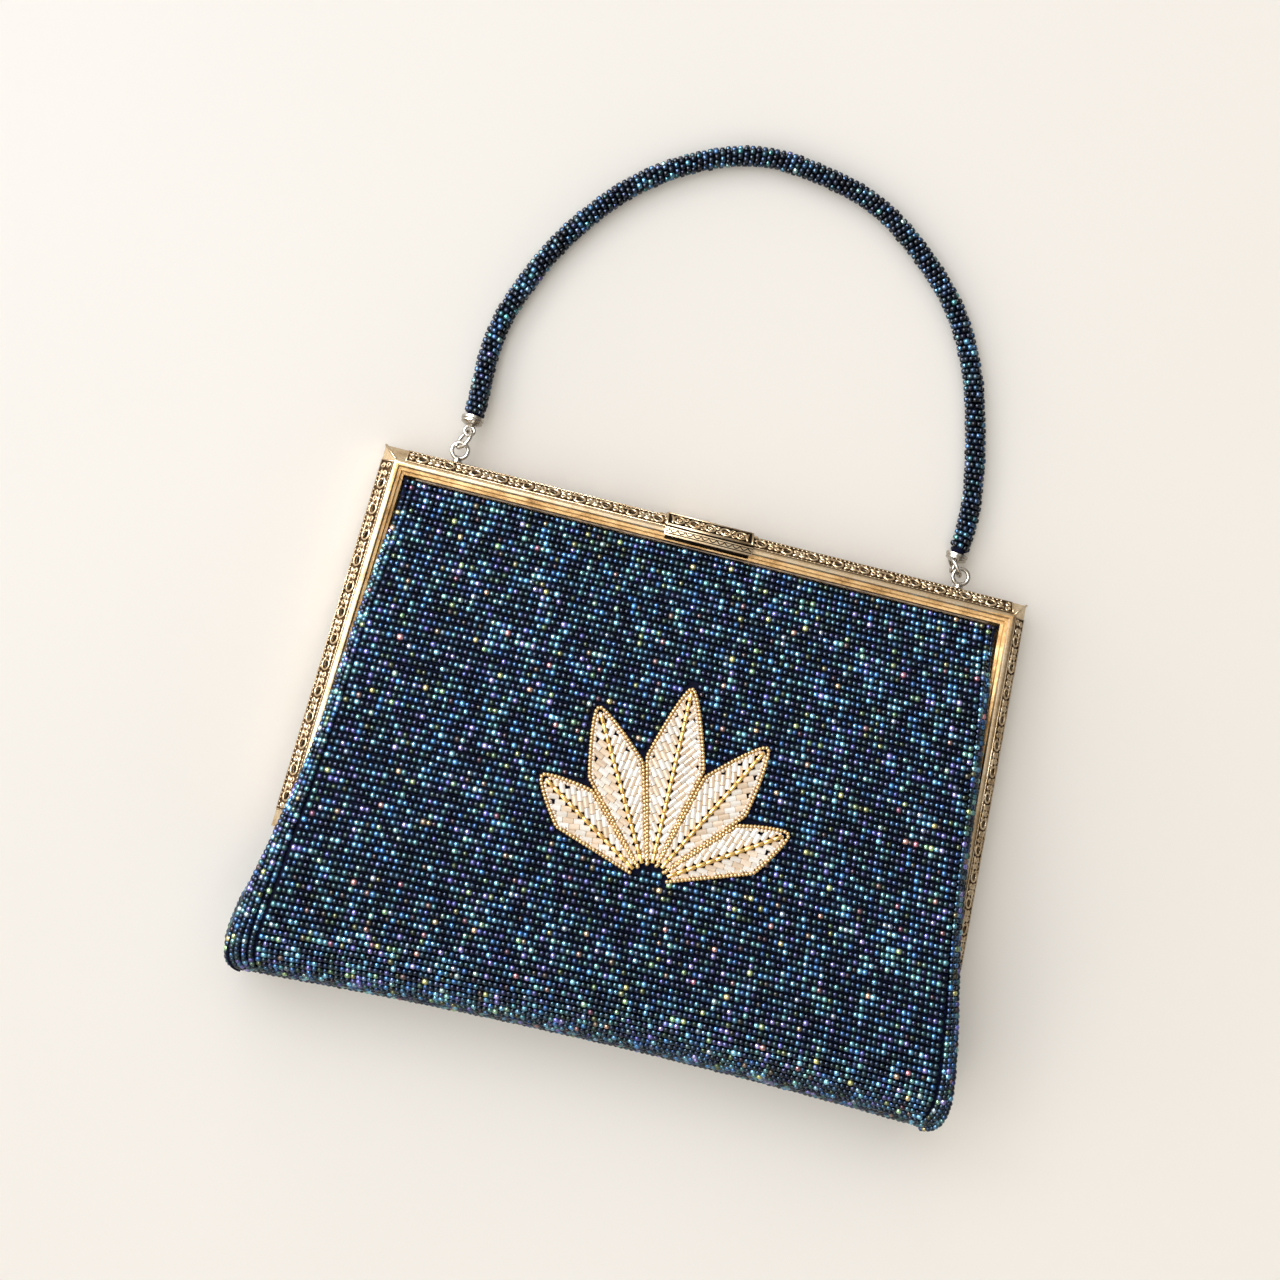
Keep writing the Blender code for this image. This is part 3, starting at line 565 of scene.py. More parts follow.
@dataclass(frozen=True)
class BodyForm:
    """The cloth's outer skin: front, round the base and up the back, in rows across."""

    bag_drop: float = 160.5 * MM
    base_width: float = 219.0 * MM
    half_depth: float = 18.0 * MM
    base_sag: float = 3.0 * MM
    frame_width: float = 199.0 * MM
    splay: float = math.radians(2.7)
    seat_inset: float = 8.05 * MM
    tuck_place: float = 0.55
    crown_power: float = 2.3
    # Steps from a shoulder to the middle, and how far the chain bulges as a share of its step
    crown_steps: int = 12
    shoulder_bulge: float = 0.16
    tuck_bulge: float = 0.12
    # Points of a row in the grid, and steps of its curve for each point of its chain
    samples: int = 150
    curve_steps: int = 6

    def turns(self) -> float:
        """The place t at which the rows reach the base's middle; the back ends at twice that."""
        return len(SECTION_TABLE) - 1.0

    def middle_index(self) -> int:
        """Number of the point in a panel's chain that lies on the bag's middle line."""
        return self.crown_steps + 2

    def seat(self, drop: np.ndarray) -> np.ndarray:
        """How far across the seat lies, inside the frame's arm."""
        return self.frame_width / 2 + drop * math.tan(self.splay) - self.seat_inset / math.cos(self.splay)

    def sections(self, places: np.ndarray) -> dict[str, np.ndarray]:
        """Named sizes of the front's sections.

        Args:
            places: Where to read, counted in rows of the table.

        Returns:
            An array for each name, in metres.
        """
        told = catmull(SECTION_TABLE, places)
        drop = told[:, 0] * self.bag_drop
        seat = self.seat(drop)
        reach = seat + told[:, 1] * (self.base_width / 2 - seat)
        seam = seat + told[:, 2] * (reach - seat)
        high = told[:, 3:] * self.half_depth
        return {
            "drop": drop, "reach": reach, "seam": seam, "seam_high": high[:, 0],
            "tuck": seam + self.tuck_place * (reach - seam), "tuck_high": high[:, 1],
            "wide_high": high[:, 2], "shoulder": reach - high[:, 3], "shoulder_high": high[:, 4],
            "crown": high[:, 5],
            "sag": told[:, 9] * self.base_sag, "lift": told[:, 10] * self.half_depth,
        }

    def row(self, place: float, side_part: bool) -> np.ndarray:
        """World points of one row's chain.

        Args:
            place: The row's t, past turns() on the back.
            side_part: Whether to give the right side from its widest place to its seam, in place of the
                panel from the left's widest place to the right's.

        Returns:
            Rows of points.
        """
        facing = 1.0 if place <= self.turns() else -1.0
        cut = {k: v[0] for k, v in self.sections(np.array([min(place, 2 * self.turns() - place)])).items()}
        widest = np.array([cut["reach"], cut["wide_high"]])
        shoulder = np.array([cut["shoulder"], cut["shoulder_high"]])
        if side_part:
            tuck = np.array([cut["tuck"], cut["tuck_high"]])
            seam = np.array([cut["seam"], cut["seam_high"]])
            bulge = (widest - tuck)[::-1] * self.tuck_bulge * [1, -1]
            chain = np.array([widest, (widest + tuck) / 2 + bulge, tuck, (tuck + seam) / 2, seam])
        else:
            bulge = (widest - shoulder)[::-1] * self.shoulder_bulge * [-1, 1]
            share = 1 - np.arange(self.crown_steps + 1) / self.crown_steps
            heights = shoulder[1] + (cut["crown"] - shoulder[1]) * (1 - share**self.crown_power)
            half = np.concatenate([[widest, (widest + shoulder) / 2 + bulge],
                                   np.stack([shoulder[0] * share, heights], axis=1)])
            chain = np.concatenate([half[:-1] * [-1, 1], half[::-1]])
        drop = cut["drop"] - cut["sag"] * (1 - (chain[:, 0] / cut["reach"]) ** 2)
        if side_part:
            drop = drop - cut["lift"] * np.arange(len(chain)) / (len(chain) - 1)
        points = PLANE.place(np.stack([chain[:, 0], drop, chain[:, 1] * facing], axis=1))
        points[:, 2] = np.maximum(points[:, 2], 0.0)
        return points

    def grid(self, places: np.ndarray, side_part: bool = False) -> np.ndarray:
        """Resamples rows to equal steps.

        Args:
            places: The rows' places t.
            side_part: Whether to give the right side in place of the panel.

        Returns:
            An array of rows, samples and three numbers.
        """
        rows = []
        for place in places:
            chain = self.row(float(place), side_part)
            smooth = catmull(chain, np.linspace(0, len(chain) - 1, self.curve_steps * len(chain)))
            smooth[:, 2] = np.maximum(smooth[:, 2], 0.0)
            line = lengths(smooth)
            rows.append(read_along(line, np.linspace(0, line[-1], self.samples), smooth))
        return np.array(rows)


def grid_axes(grid: np.ndarray) -> tuple[np.ndarray, np.ndarray]:
    """Finds directions on a grid of rows that run down the bag.

    Args:
        grid: An array of rows, samples and three numbers.

    Returns:
        The directions across and out, one each for each point.
    """
    across = unit(np.gradient(grid, axis=1))
    down = unit(np.gradient(grid, axis=0))
    return across, unit(np.cross(down, across))


# Beadwork


@dataclass(frozen=True)
class SeedBead:
    """A common small seed bead, strung along its row, and how much its kind varies."""

    radius: float = 1.01 * MM
    length: float = 1.54 * MM
    pitch: float = 1.63 * MM
    row_pitch: float = 2.10 * MM
    sides: int = 6
    end_share: float = 0.74
    # Spread of the tilt, the length and the girth, and the limits of the last two
    tilt: float = 0.055
    length_spread: float = 0.06
    girth_spread: float = 0.05
    smallest: float = 0.86
    largest: float = 1.14
    # How far a bead strays from its place, and turns about its thread
    stray: float = 0.06 * MM
    roll: float = math.radians(60)

    def template(self) -> Template:
        """Makes a barrel with narrower ends, of a few faces."""
        ends = self.radius * self.end_share
        half = self.length / 2
        return Template.turned([(-half, ends), (0.0, self.radius), (half, ends)], self.sides)

    def sizes(self, rng: np.random.Generator, count: int) -> np.ndarray:
        """Draws the shares of length and girth for a number of beads."""
        length = rng.normal(1.0, self.length_spread, count)
        girth = rng.normal(1.0, self.girth_spread, count)
        return np.clip(np.stack([length, girth, girth], axis=1), self.smallest, self.largest)


def bead_numbers(rng: np.random.Generator, count: int) -> np.ndarray:
    """Colour, depth and polish of each bead, from 0 to 1, with more dark beads than light ones."""
    return np.stack([rng.random(count), rng.random(count) ** 1.3, rng.random(count)], axis=1)


def string_beads(lot: BeadLot, points: np.ndarray, out: np.ndarray, bead: SeedBead,
                 rng: np.random.Generator, keep: Callable[[np.ndarray], np.ndarray] | None = None) -> None:
    """Strings beads along a chain of points.

    Args:
        lot: Takes the beads.
        points: The string.
        out: Which way is out at each point.
        bead: The bead to string.
        rng: Source of small differences.
        keep: Tells which of the centres are kept.
    """
    line = lengths(points)
    count = max(round(line[-1] / bead.pitch), 1)
    places = (np.arange(count) + 0.5) * line[-1] / count + rng.uniform(-0.5, 0.5, count) * bead.stray
    centres = read_along(line, places, points)
    ahead = read_along(line, np.minimum(places + bead.pitch / 2, line[-1]), points)
    behind = read_along(line, np.maximum(places - bead.pitch / 2, 0.0), points)
    along = unit(ahead - behind) + rng.normal(0, bead.tilt, (count, 3))
    outward = unit(read_along(line, places, out))
    roll = rng.uniform(-0.5, 0.5, (count, 1)) * bead.roll
    rolled = outward * np.cos(roll) + np.cross(unit(along), outward) * np.sin(roll)
    sizes = bead.sizes(rng, count)
    numbers = bead_numbers(rng, count)
    centres = centres + outward * rng.uniform(-0.5, 0.5, (count, 1)) * bead.stray
    good = np.ones(count, bool) if keep is None else keep(centres)
    lot.add(centres[good], along[good], rolled[good], sizes[good], numbers[good])


@dataclass
class BeadedBody:
    """The bag's cloth with its rows of seed beads, and the columns along both edges."""

    form: BodyForm = field(default_factory=BodyForm)
    bead: SeedBead = field(default_factory=SeedBead)
    cloth_depth: float = 1.25 * MM
    cloth_wall: float = 0.6 * MM
    first_row: float = 1.0 * MM
    # Rows wander this far, in waves of (radians from row to row, start, radians across)
    wander: float = 0.13 * MM
    waves: tuple = ((0.11, 0.4, 9.0), (0.31, 1.7, 17.0), (0.9, 2.9, 31.0))
    wave_drift: float = 0.05
    # Border of columns in millimetres at a share of the drop, on the left and on the right
    border_left: tuple = ((0.05, 3.9), (0.35, 4.1), (0.60, 5.6), (0.80, 8.0), (1.0, 9.4))
    border_right: tuple = ((0.05, 3.9), (0.50, 4.1), (0.80, 5.8), (1.0, 6.4))
    # Columns stand a little closer than rows, and are followed in steps of t
    column_share: float = 0.95
    most_columns: int = 12
    column_step: float = 0.05
    shortest_run: int = 5
    look_aside: float = 0.5 * MM
    # Points of the curves that rows and columns are read from
    middle_points: int = 520
    side_points: int = 80
    string_points: int = 200
    # Rows of the cloth, and every how many samples of panel and side it has a point
    cloth_rows: int = 131
    panel_thinning: int = 3
    side_thinning: int = 30
    cloth_rest: float = 0.9
    first_seed: int = 70

    def build(self, motif: "LeafFan") -> None:
        """Makes the cloth and all the seed beads, apart from those under the motif.

        Args:
            motif: The fan, whose leaves take the place of seed beads.
        """
        self.make_cloth()
        places, panel = self.rows()
        glass = IrisSeedBead().material()
        shape = self.bead.template()
        out = grid_axes(panel)[1]
        centres = panel - out * self.bead.radius
        total = len(places)
        words = ("front_upper", "front_lower", "back_lower", "back_upper")
        columns = [column for side in (-1.0, 1.0) for column in self.columns(side)]
        for number, word in enumerate(words):
            rng = np.random.default_rng(self.first_seed + number)
            lot = BeadLot()
            keep = motif.leaves_free if word.startswith("front") else None
            first, last = (total * k // len(words) for k in (number, number + 1))
            for k in range(first, last):
                self.string_row(lot, places[k], centres, out, k, rng, keep)
            low = places[first] if first else -math.inf
            high = places[last] if last < total else math.inf
            for column in columns:
                self.string_column(lot, column, (low, high), rng)
            name = "seed_beads_" + word
            place_piece(name, lot.mesh(name, shape), [glass], smooth=None)

    def rows(self) -> tuple[np.ndarray, np.ndarray]:
        """Spaces the rows in equal steps round the middle of the bag.

        Returns:
            The rows' places t, and their grid.
        """
        fine = np.linspace(0.0, 2 * self.form.turns(), self.middle_points)
        middle = np.array([self.form.row(float(t), False)[self.form.middle_index()] for t in fine])
        line = lengths(middle)
        room = line[-1] - 2 * self.first_row
        count = round(room / self.bead.row_pitch) + 1
        places = np.interp(self.first_row + np.linspace(0, room, count), line, fine)
        return places, self.form.grid(places)

    def border(self, place: float, side: float) -> float:
        """Reads the width of the columns' border beside a row.

        Args:
            place: The row's t.
            side: 1 for the right side and -1 for the left.

        Returns:
            The width in metres.
        """
        drops = SECTION_TABLE[:, 0]
        front = min(place, 2 * self.form.turns() - place)
        drop = np.interp(front, np.arange(len(drops)), drops)
        table = np.array(self.border_left if side < 0 else self.border_right)
        return float(np.interp(drop, table[:, 0], table[:, 1])) * MM

    def string_row(self, lot: BeadLot, place: float, centres: np.ndarray, out: np.ndarray, k: int,
                   rng: np.random.Generator, keep: Callable[[np.ndarray], np.ndarray] | None) -> None:
        """Strings a row, a little wavy, and ends it beside the border columns.

        Args:
            lot: Takes the beads.
            place: The row's t.
            centres: Grid of the beads' middle lines.
            out: Outward directions of the grid.
            k: The row's number.
            rng: Source of small differences.
            keep: Tells which of the beads are kept.
        """
        row = centres[k]
        down = unit(np.gradient(centres, axis=0)[k])
        share = np.linspace(0, 1, len(row))
        wave = sum(math.sin(k * step + start) * np.sin(share * across + k * self.wave_drift + start)
                   for step, start, across in self.waves)
        row = row + down * (wave * self.wander)[:, None]
        line = lengths(row)
        stretch = np.linspace(self.border(place, -1.0), line[-1] - self.border(place, 1.0), len(row))
        points, outward = (read_along(line, stretch, part) for part in (row, out[k]))
        string_beads(lot, points, outward, self.bead, rng, keep)

    def columns(self, side: float) -> list[tuple[np.ndarray, np.ndarray, np.ndarray]]:
        """Finds the border's columns on one side, from the rows' ends round to the side's seam.

        Args:
            side: 1 for the right side and -1 for the left.

        Returns:
            For each column its places t, points and outward directions.
        """
        step = self.column_step
        fine = np.arange(0.0, 2 * self.form.turns() + 0.02 * step, step)
        chains, lines, starts = [], [], []
        for t in fine:
            edge = self.form.row(float(t), True)
            panel = self.form.row(float(t), False)[:self.form.middle_index():-1]
            chain = np.concatenate([edge[::-1], panel[1:]])
            knots = np.linspace(0, len(chain) - 1, self.side_points)
            smooth = catmull(chain, knots)
            smooth[:, 2] = np.maximum(smooth[:, 2], 0.0)
            line = lengths(smooth)
            chains.append(smooth)
            lines.append(line - np.interp(len(edge) - 1, knots, line))
            starts.append(self.border(float(t), side))
        found = []
        pitch = self.bead.row_pitch * self.column_share
        look = np.array([-self.look_aside, 0.0, self.look_aside])
        for number in range(self.most_columns):
            offset = np.array(starts) - pitch * (number + 0.5)
            good = np.array([line[0] + 0.5 * pitch < s for line, s in zip(lines, offset)])
            if not good.any():
                break
            near = np.array([read_along(line, s + look, chain)
                             for chain, line, s in zip(chains, lines, offset)])
            points = near[:, 1]
            out = unit(np.cross(near[:, 2] - near[:, 0], np.gradient(points, axis=0)))
            points = (points - out * self.bead.radius) * [side, 1, 1]
            out = out * [side, 1, 1]
            for run in np.split(np.arange(len(fine)), np.flatnonzero(np.diff(good.astype(int))) + 1):
                if good[run[0]] and len(run) >= self.shortest_run:
                    found.append((fine[run], points[run], out[run]))
        return found

    def string_column(self, lot: BeadLot, column: tuple[np.ndarray, np.ndarray, np.ndarray],
                      ends: tuple[float, float], rng: np.random.Generator) -> None:
        """Strings the part of a column that lies between two places.

        Args:
            lot: Takes the beads.
            column: Its places t, points and outward directions.
            ends: The two places.
            rng: Source of small differences.
        """
        fine, points, out = column
        low, high = max(ends[0], fine[0]), min(ends[1], fine[-1])
        if high - low > 2 * self.column_step:
            places = np.linspace(low, high, self.string_points)
            line, outward = (read_along(fine, places, part) for part in (points, out))
            string_beads(lot, line, outward, self.bead, rng)

    def make_cloth(self) -> None:
        """The backing that the beads are sewn to, from edge to edge of the panels."""
        fine = np.linspace(0, self.form.turns() * 2, self.cloth_rows)
        panel = self.form.grid(fine)[:, ::self.panel_thinning]
        side = self.form.grid(fine, side_part=True)[:, ::self.side_thinning]
        whole = np.concatenate([(side * [-1, 1, 1])[:, :0:-1], panel, side[:, 1:]], axis=1)
        skin = whole - grid_axes(whole)[1] * self.cloth_depth
        skin[..., 2] = np.maximum(skin[..., 2], self.cloth_depth * self.cloth_rest)
        piece = cloth_from_grid("backing_cloth", skin, self.cloth_wall, WovenBacking().material())
        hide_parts("body_wrap")


def cloth_from_grid(name: str, skin: np.ndarray, wall: float,
                    material: bpy.types.Material) -> bpy.types.Object:
    """Lays a grid of cloth over points and gives it a wall inwards.

    Args:
        name: The piece's name.
        skin: Rows and columns of points.
        wall: The cloth's thickness.
        material: Its finish.

    Returns:
        The piece.
    """
    rows, columns = skin.shape[:2]
    bm = bmesh.new()
    made = bmesh.ops.create_grid(bm, x_segments=columns - 1, y_segments=rows - 1, size=1.0)
    for index, vert in enumerate(made["verts"]):
        vert.co = skin[index // columns, index % columns]
    bm.normal_update()
    middle = Vector(skin.reshape(-1, 3).mean(axis=0))
    if sum((f.calc_center_median() - middle).dot(f.normal) * f.calc_area() for f in bm.faces) < 0:
        bmesh.ops.reverse_faces(bm, faces=bm.faces)
    piece = finish_piece(name, bm, [material], smooth=180)
    solid = piece.modifiers.new("wall", "SOLIDIFY")
    solid.thickness = wall
    solid.offset = -1.0
    return piece


@dataclass
class BeadedGussets:
    """The side strips below the hinges, with their beads in columns down the bag."""

    form: BodyForm = field(default_factory=BodyForm)
    bead: SeedBead = field(default_factory=SeedBead)
    top: float = 122.0 * MM
    end: float = 0.979
    seam_gap: float = 0.4 * MM
    # Swell outwards, and the share of the bag's half depth at which it is full
    swell: float = 2.4 * MM
    full_swell: float = 0.6
    rows: int = 30
    steps: int = 41
    table_steps: int = 900
    column_share: float = 0.97
    side_columns: int = 6
    shortest_run: int = 3
    edge_clear: float = 0.45 * MM
    cloth_depth: float = 1.25 * MM
    cloth_wall: float = 0.6 * MM
    cloth_thinning: int = 4

    def grid(self) -> np.ndarray:
        """The right gusset's skin, in rows down the bag and columns from back to front."""
        table = np.linspace(0, self.form.turns(), self.table_steps)
        cuts = self.form.sections(table)
        seam_drop = cuts["drop"] - cuts["lift"]
        shares = np.linspace(-1, 1, self.steps)
        rows = []
        for drop in np.linspace(self.top, self.form.bag_drop * self.end, self.rows):
            edge = np.interp(drop, seam_drop, cuts["seam"])
            half = np.interp(drop, seam_drop, cuts["seam_high"]) - self.seam_gap
            swell = self.swell * half / (self.form.half_depth * self.full_swell)
            across = edge + swell * (1 - shares**2)
            rows.append(np.stack([across, np.full(self.steps, drop), half * shares], axis=1))
        points = PLANE.place(np.array(rows))
        points[..., 2] = np.maximum(points[..., 2], 0.0)
        return points

    def build(self) -> None:
        """Makes both gussets."""
        skin = self.grid()
        out = unit(np.cross(unit(np.gradient(skin, axis=1)), unit(np.gradient(skin, axis=0))))
        out *= np.where(out[..., :1] < 0, -1.0, 1.0)
        glass = IrisSeedBead().material()
        cloth = WovenBacking().material()
        shape = self.bead.template()
        for word, flip, seed in (("left", -1.0, 37), ("right", 1.0, 31)):
            mirror = [flip, 1, 1]
            lot = BeadLot()
            rng = np.random.default_rng(seed)
            for points, outward in self.columns(skin, out):
                string_beads(lot, points * mirror, outward * mirror, self.bead, rng)
            name = "gusset_beads_" + word
            place_piece(name, lot.mesh(name, shape), [glass], smooth=None)
            inner = (skin - out * self.cloth_depth)[:, ::self.cloth_thinning] * mirror
            inner[..., 2] = np.maximum(inner[..., 2], self.cloth_wall)
            piece = cloth_from_grid("gusset_cloth_" + word, inner, self.cloth_wall, cloth)
            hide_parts("gusset_" + word)

    def columns(self, skin: np.ndarray, out: np.ndarray) -> list[tuple[np.ndarray, np.ndarray]]:
        """Finds the columns of beads, from back to front.

        Args:
            skin: The right gusset's skin.
            out: Its outward directions.

        Returns:
            The beads' middle line and outward directions for each column.
        """
        widths = [lengths(row) for row in skin]
        found = []
        for column in range(-self.side_columns, self.side_columns + 1):
            offset = column * self.bead.row_pitch * self.column_share
            picked = [k for k, line in enumerate(widths) if abs(offset) < line[-1] / 2 - self.edge_clear]
            if len(picked) >= self.shortest_run:
                points, outward = (
                    np.array([read_along(widths[k], np.array([widths[k][-1] / 2 + offset]), part[k])[0]
                              for k in picked])
                    for part in (skin, out))
                found.append((points - outward * self.bead.radius, outward))
        return found


class BugleKind(Enum):
    """The beads of the motif, by the number that their colour is read from."""

    WHITE = 0.2
    CREAM = 0.5
    GOLD_SEED = 0.7
    GOLD_TUBE = 0.9


@dataclass
class LeafFan:
    """A fan of five plain pointed leaves in bugle beads, in the middle of the front."""

    form: BodyForm = field(default_factory=BodyForm)
    foot_across: float = 5.0 * MM
    foot_drop: float = 106.0 * MM
    spread: float = math.radians(29)
    # Lengths of the leaves in millimetres, and the form of their edge
    reaches: tuple[float, ...] = (44.0, 53.0, 58.0, 53.0, 44.0)
    widest_half: float = 10.6 * MM
    wedge_share: float = 0.93
    taper_share: float = 0.52
    taper_power: float = 0.72
    # Seed beads stay at the fan's foot, and clear of the leaves by these
    foot_kept: float = 4.4 * MM
    tip_clear: float = 0.8 * MM
    side_clear: float = 0.95 * MM
    # The tubes lie in slanting files on both sides of the rib
    tube_radius: float = 0.95 * MM
    tube_length: float = 3.1 * MM
    tube_gap: float = 0.06 * MM
    shortest_tube: float = 0.7 * MM
    slant: float = math.radians(38)
    file_share: float = 0.84
    first_file: float = -4.0 * MM
    first_aside: float = 0.75 * MM
    edge_room: float = 0.55 * MM
    fill_start: float = 1.5 * MM
    fill_end: float = 1.0 * MM
    # The rib is a line of gold tubes that stands above the others
    rib_start: float = 6.0 * MM
    rib_end: float = 3.0 * MM
    rib_pitch: float = 3.0 * MM
    rib_tube: float = 2.85 * MM
    rib_radius: float = 0.62 * MM
    rib_lift: float = 0.25 * MM
    # Two lines of seeds run round each leaf, the second inset from the first
    seed_pitch: float = 1.12 * MM
    seed_length: float = 0.92
    seed_radius: float = 0.58 * MM
    seed_lift: float = 0.2 * MM
    outline_start: float = 5.0 * MM
    outline_end: float = 0.2 * MM
    inset: float = 1.02 * MM
    lift: float = 0.25 * MM
    table: dict[str, np.ndarray] = field(default_factory=dict)

    def prepare(self) -> None:
        """Reads the front's skin as a table over across and drop."""
        grid = self.form.grid(np.linspace(0.5, 9.0, 120))
        out = grid_axes(grid)[1]
        columns = np.linspace(-60 * MM, 70 * MM, 131)
        skin = np.array([read_along(row[:, 0], columns, row) for row in grid])
        normals = np.array([read_along(row[:, 0], columns, n) for row, n in zip(grid, out)])
        self.table = {"columns": columns, "skin": skin, "normals": unit(normals)}

    def on_skin(self, across: np.ndarray, drop: np.ndarray) -> tuple[np.ndarray, np.ndarray]:
        """Finds places on the front's skin.

        Args:
            across: Distances across from the bag's middle.
            drop: Distances from the frame's top edge, seen from straight in front.

        Returns:
            Points and outward directions.
        """
        columns, skin, normals = (self.table[k] for k in ("columns", "skin", "normals"))
        column = np.clip((across - columns[0]) / (columns[1] - columns[0]), 0, len(columns) - 2)
        low = column.astype(int)
        part = (column - low)[:, None]
        points, outs = [], []
        for k in range(len(across)):
            line = skin[:, low[k]] * (1 - part[k]) + skin[:, low[k] + 1] * part[k]
            falls = PLANE.top_y - line[:, 1]
            points.append(read_along(falls, np.array([drop[k]]), line)[0])
            outs.append(read_along(falls, np.array([drop[k]]), normals[:, low[k]])[0])
        return np.array(points), unit(np.array(outs))

    def half_width(self, along: np.ndarray | float, reach: float) -> np.ndarray:
        """Half a leaf's width at a distance from the foot, for a leaf's length."""
        wedge = np.maximum(along, 0) * math.tan(self.spread / 2) * self.wedge_share
        left = np.clip((reach - along) / (reach * self.taper_share), 0, 1)
        return np.minimum(wedge, self.widest_half * left**self.taper_power)

    def leaves(self) -> Iterable[tuple[float, float]]:
        """Direction and length of each leaf."""
        middle = (len(self.reaches) - 1) / 2
        return [((k - middle) * self.spread, reach * MM) for k, reach in enumerate(self.reaches)]

    def leaves_free(self, centres: np.ndarray) -> np.ndarray:
        """Tells which places on the front lie outside every leaf.

        Args:
            centres: Rows of points.

        Returns:
            A truth value for each.
        """
        across = centres[:, 0] - self.foot_across
        up = self.foot_drop - (PLANE.top_y - centres[:, 1])
        free = np.ones(len(centres), bool)
        for turn, reach in self.leaves():
            along = across * math.sin(turn) + up * math.cos(turn)
            aside = np.abs(across * math.cos(turn) - up * math.sin(turn))
            inside = (along > self.foot_kept) & (along < reach + self.tip_clear)
            free &= ~(inside & (aside < self.half_width(along, reach) + self.side_clear))
        return free

    def lay(self, lot: BeadLot, starts: np.ndarray, ends: np.ndarray, turn: float, kind: BugleKind,
            radius: float, rng: np.random.Generator, lift: float = 0.0) -> None:
        """Lays beads between pairs of places given as (along the leaf, aside).

        Args:
            lot: Takes the beads.
            starts: Where they begin.
            ends: Where they end.
            turn: The leaf's direction.
            kind: Their glass.
            radius: Their radius.
            rng: Source of shade and polish.
            lift: How far they stand above the other beads.
        """
        spots = []
        for pair in (starts, ends):
            across = self.foot_across + pair[:, 0] * math.sin(turn) + pair[:, 1] * math.cos(turn)
            drop = self.foot_drop - pair[:, 0] * math.cos(turn) + pair[:, 1] * math.sin(turn)
            spots.append(self.on_skin(across, drop))
        (one, out_one), (two, out_two) = spots
        out = unit(out_one + out_two)
        count = len(one)
        girth = np.full(count, radius)
        sizes = np.stack([np.linalg.norm(two - one, axis=1), girth, girth], axis=1)
        numbers = np.stack([np.full(count, kind.value), rng.random(count), rng.random(count)], axis=1)
        lot.add((one + two) / 2 + out * (self.lift + lift - radius), two - one, out, sizes, numbers)

    def build(self) -> None:
        """Makes the fan as one piece of tubes and one of seeds."""
        tubes, seeds = BeadLot(), BeadLot()
        rng = np.random.default_rng(5)
        for turn, reach in self.leaves():
            self.fill_leaf(tubes, turn, reach, rng)
            self.outline_leaf(seeds, turn, reach, BugleKind.GOLD_SEED, 0.0, rng)
            self.outline_leaf(seeds, turn, reach, BugleKind.CREAM, self.inset, rng)
        glass = BugleGlass().material()
        tube = Template.turned([(-0.5, 0.80), (-0.46, 1.0), (0.46, 1.0), (0.5, 0.80)], 8)
        seed = Template.turned([(-0.5, 0.62), (-0.2, 1.0), (0.2, 1.0), (0.5, 0.62)], 8)
        place_piece("fan_bugles", tubes.mesh("fan_bugles", tube), [glass], smooth=50)
        place_piece("fan_seeds", seeds.mesh("fan_seeds", seed), [glass], smooth=180)

    def fill_leaf(self, lot: BeadLot, turn: float, reach: float, rng: np.random.Generator) -> None:
        """Fills a leaf with slanting tubes on both sides of a gold rib.

        Args:
            lot: Takes the tubes.
            turn: The leaf's direction.
            reach: Its length.
            rng: Source of shade and polish.
        """
        ribs = np.arange(self.rib_start, reach - self.rib_end, self.rib_pitch)
        rib = np.stack([ribs, np.zeros(len(ribs))], axis=1)
        self.lay(lot, rib, rib + [self.rib_tube, 0.0], turn, BugleKind.GOLD_TUBE, self.rib_radius, rng,
                 self.rib_lift)
        slope, rise = math.tan(self.slant), self.tube_length * math.sin(self.slant)
        step = 2 * self.tube_radius / math.sin(self.slant) * self.file_share
        for side in (1.0, -1.0):
            for k, start in enumerate(np.arange(self.first_file, reach, step)):
                aside = self.first_aside
                row = 0
                while aside < self.widest_half + 2 * MM:
                    along = start + aside / slope
                    tip = aside + rise
                    # The edge narrows as the tube is cut back to it, so it is cut twice
                    for _ in range(2):
                        tip = min(tip, float(self.half_width(start + tip / slope, reach)) - self.edge_room)
                    if tip - aside > self.shortest_tube and self.fill_start < along < reach - self.fill_end:
                        kind = BugleKind.WHITE if (k // 2 + row) % 2 else BugleKind.CREAM
                        self.lay(lot, np.array([[along, side * aside]]),
                                 np.array([[start + tip / slope, side * tip]]), turn, kind,
                                 self.tube_radius, rng)
                    aside += rise + self.tube_gap
                    row += 1

    def outline_leaf(self, lot: BeadLot, turn: float, reach: float, kind: BugleKind, inset: float,
                     rng: np.random.Generator) -> None:
        """Runs a line of seeds round a leaf, at its edge or inset from it.

        Args:
            lot: Takes the seeds.
            turn: The leaf's direction.
            reach: Its length.
            kind: The seeds' glass.
            inset: Distance from the edge.
            rng: Source of shade and polish.
        """
        along = np.linspace(self.outline_start + 2 * inset, reach - self.outline_end - 2 * inset, 160)
        half = np.maximum(self.half_width(along, reach) - inset, 0.0)
        edge = np.concatenate([np.stack([along, half], axis=1), np.stack([along, -half], axis=1)[::-1]])
        line = lengths(edge)
        places = np.arange(0, line[-1], self.seed_pitch)
        spots = read_along(line, places, edge)
        length = self.seed_pitch * self.seed_length
        ahead = read_along(line, np.minimum(places + length, line[-1]), edge)
        good = np.linalg.norm(ahead - spots, axis=1) > self.seed_pitch * 0.4
        self.lay(lot, spots[good], ahead[good], turn, kind, self.seed_radius, rng,
                 self.seed_lift - inset * 0.25)


# Metal


# The frame's metals, in the order of its pieces' material numbers
FRAME_METALS = (YELLOW_GILT, SHADE_PAINTED_GILT, SILVER_GILT, SHADOW_PAINTED_BLACK)


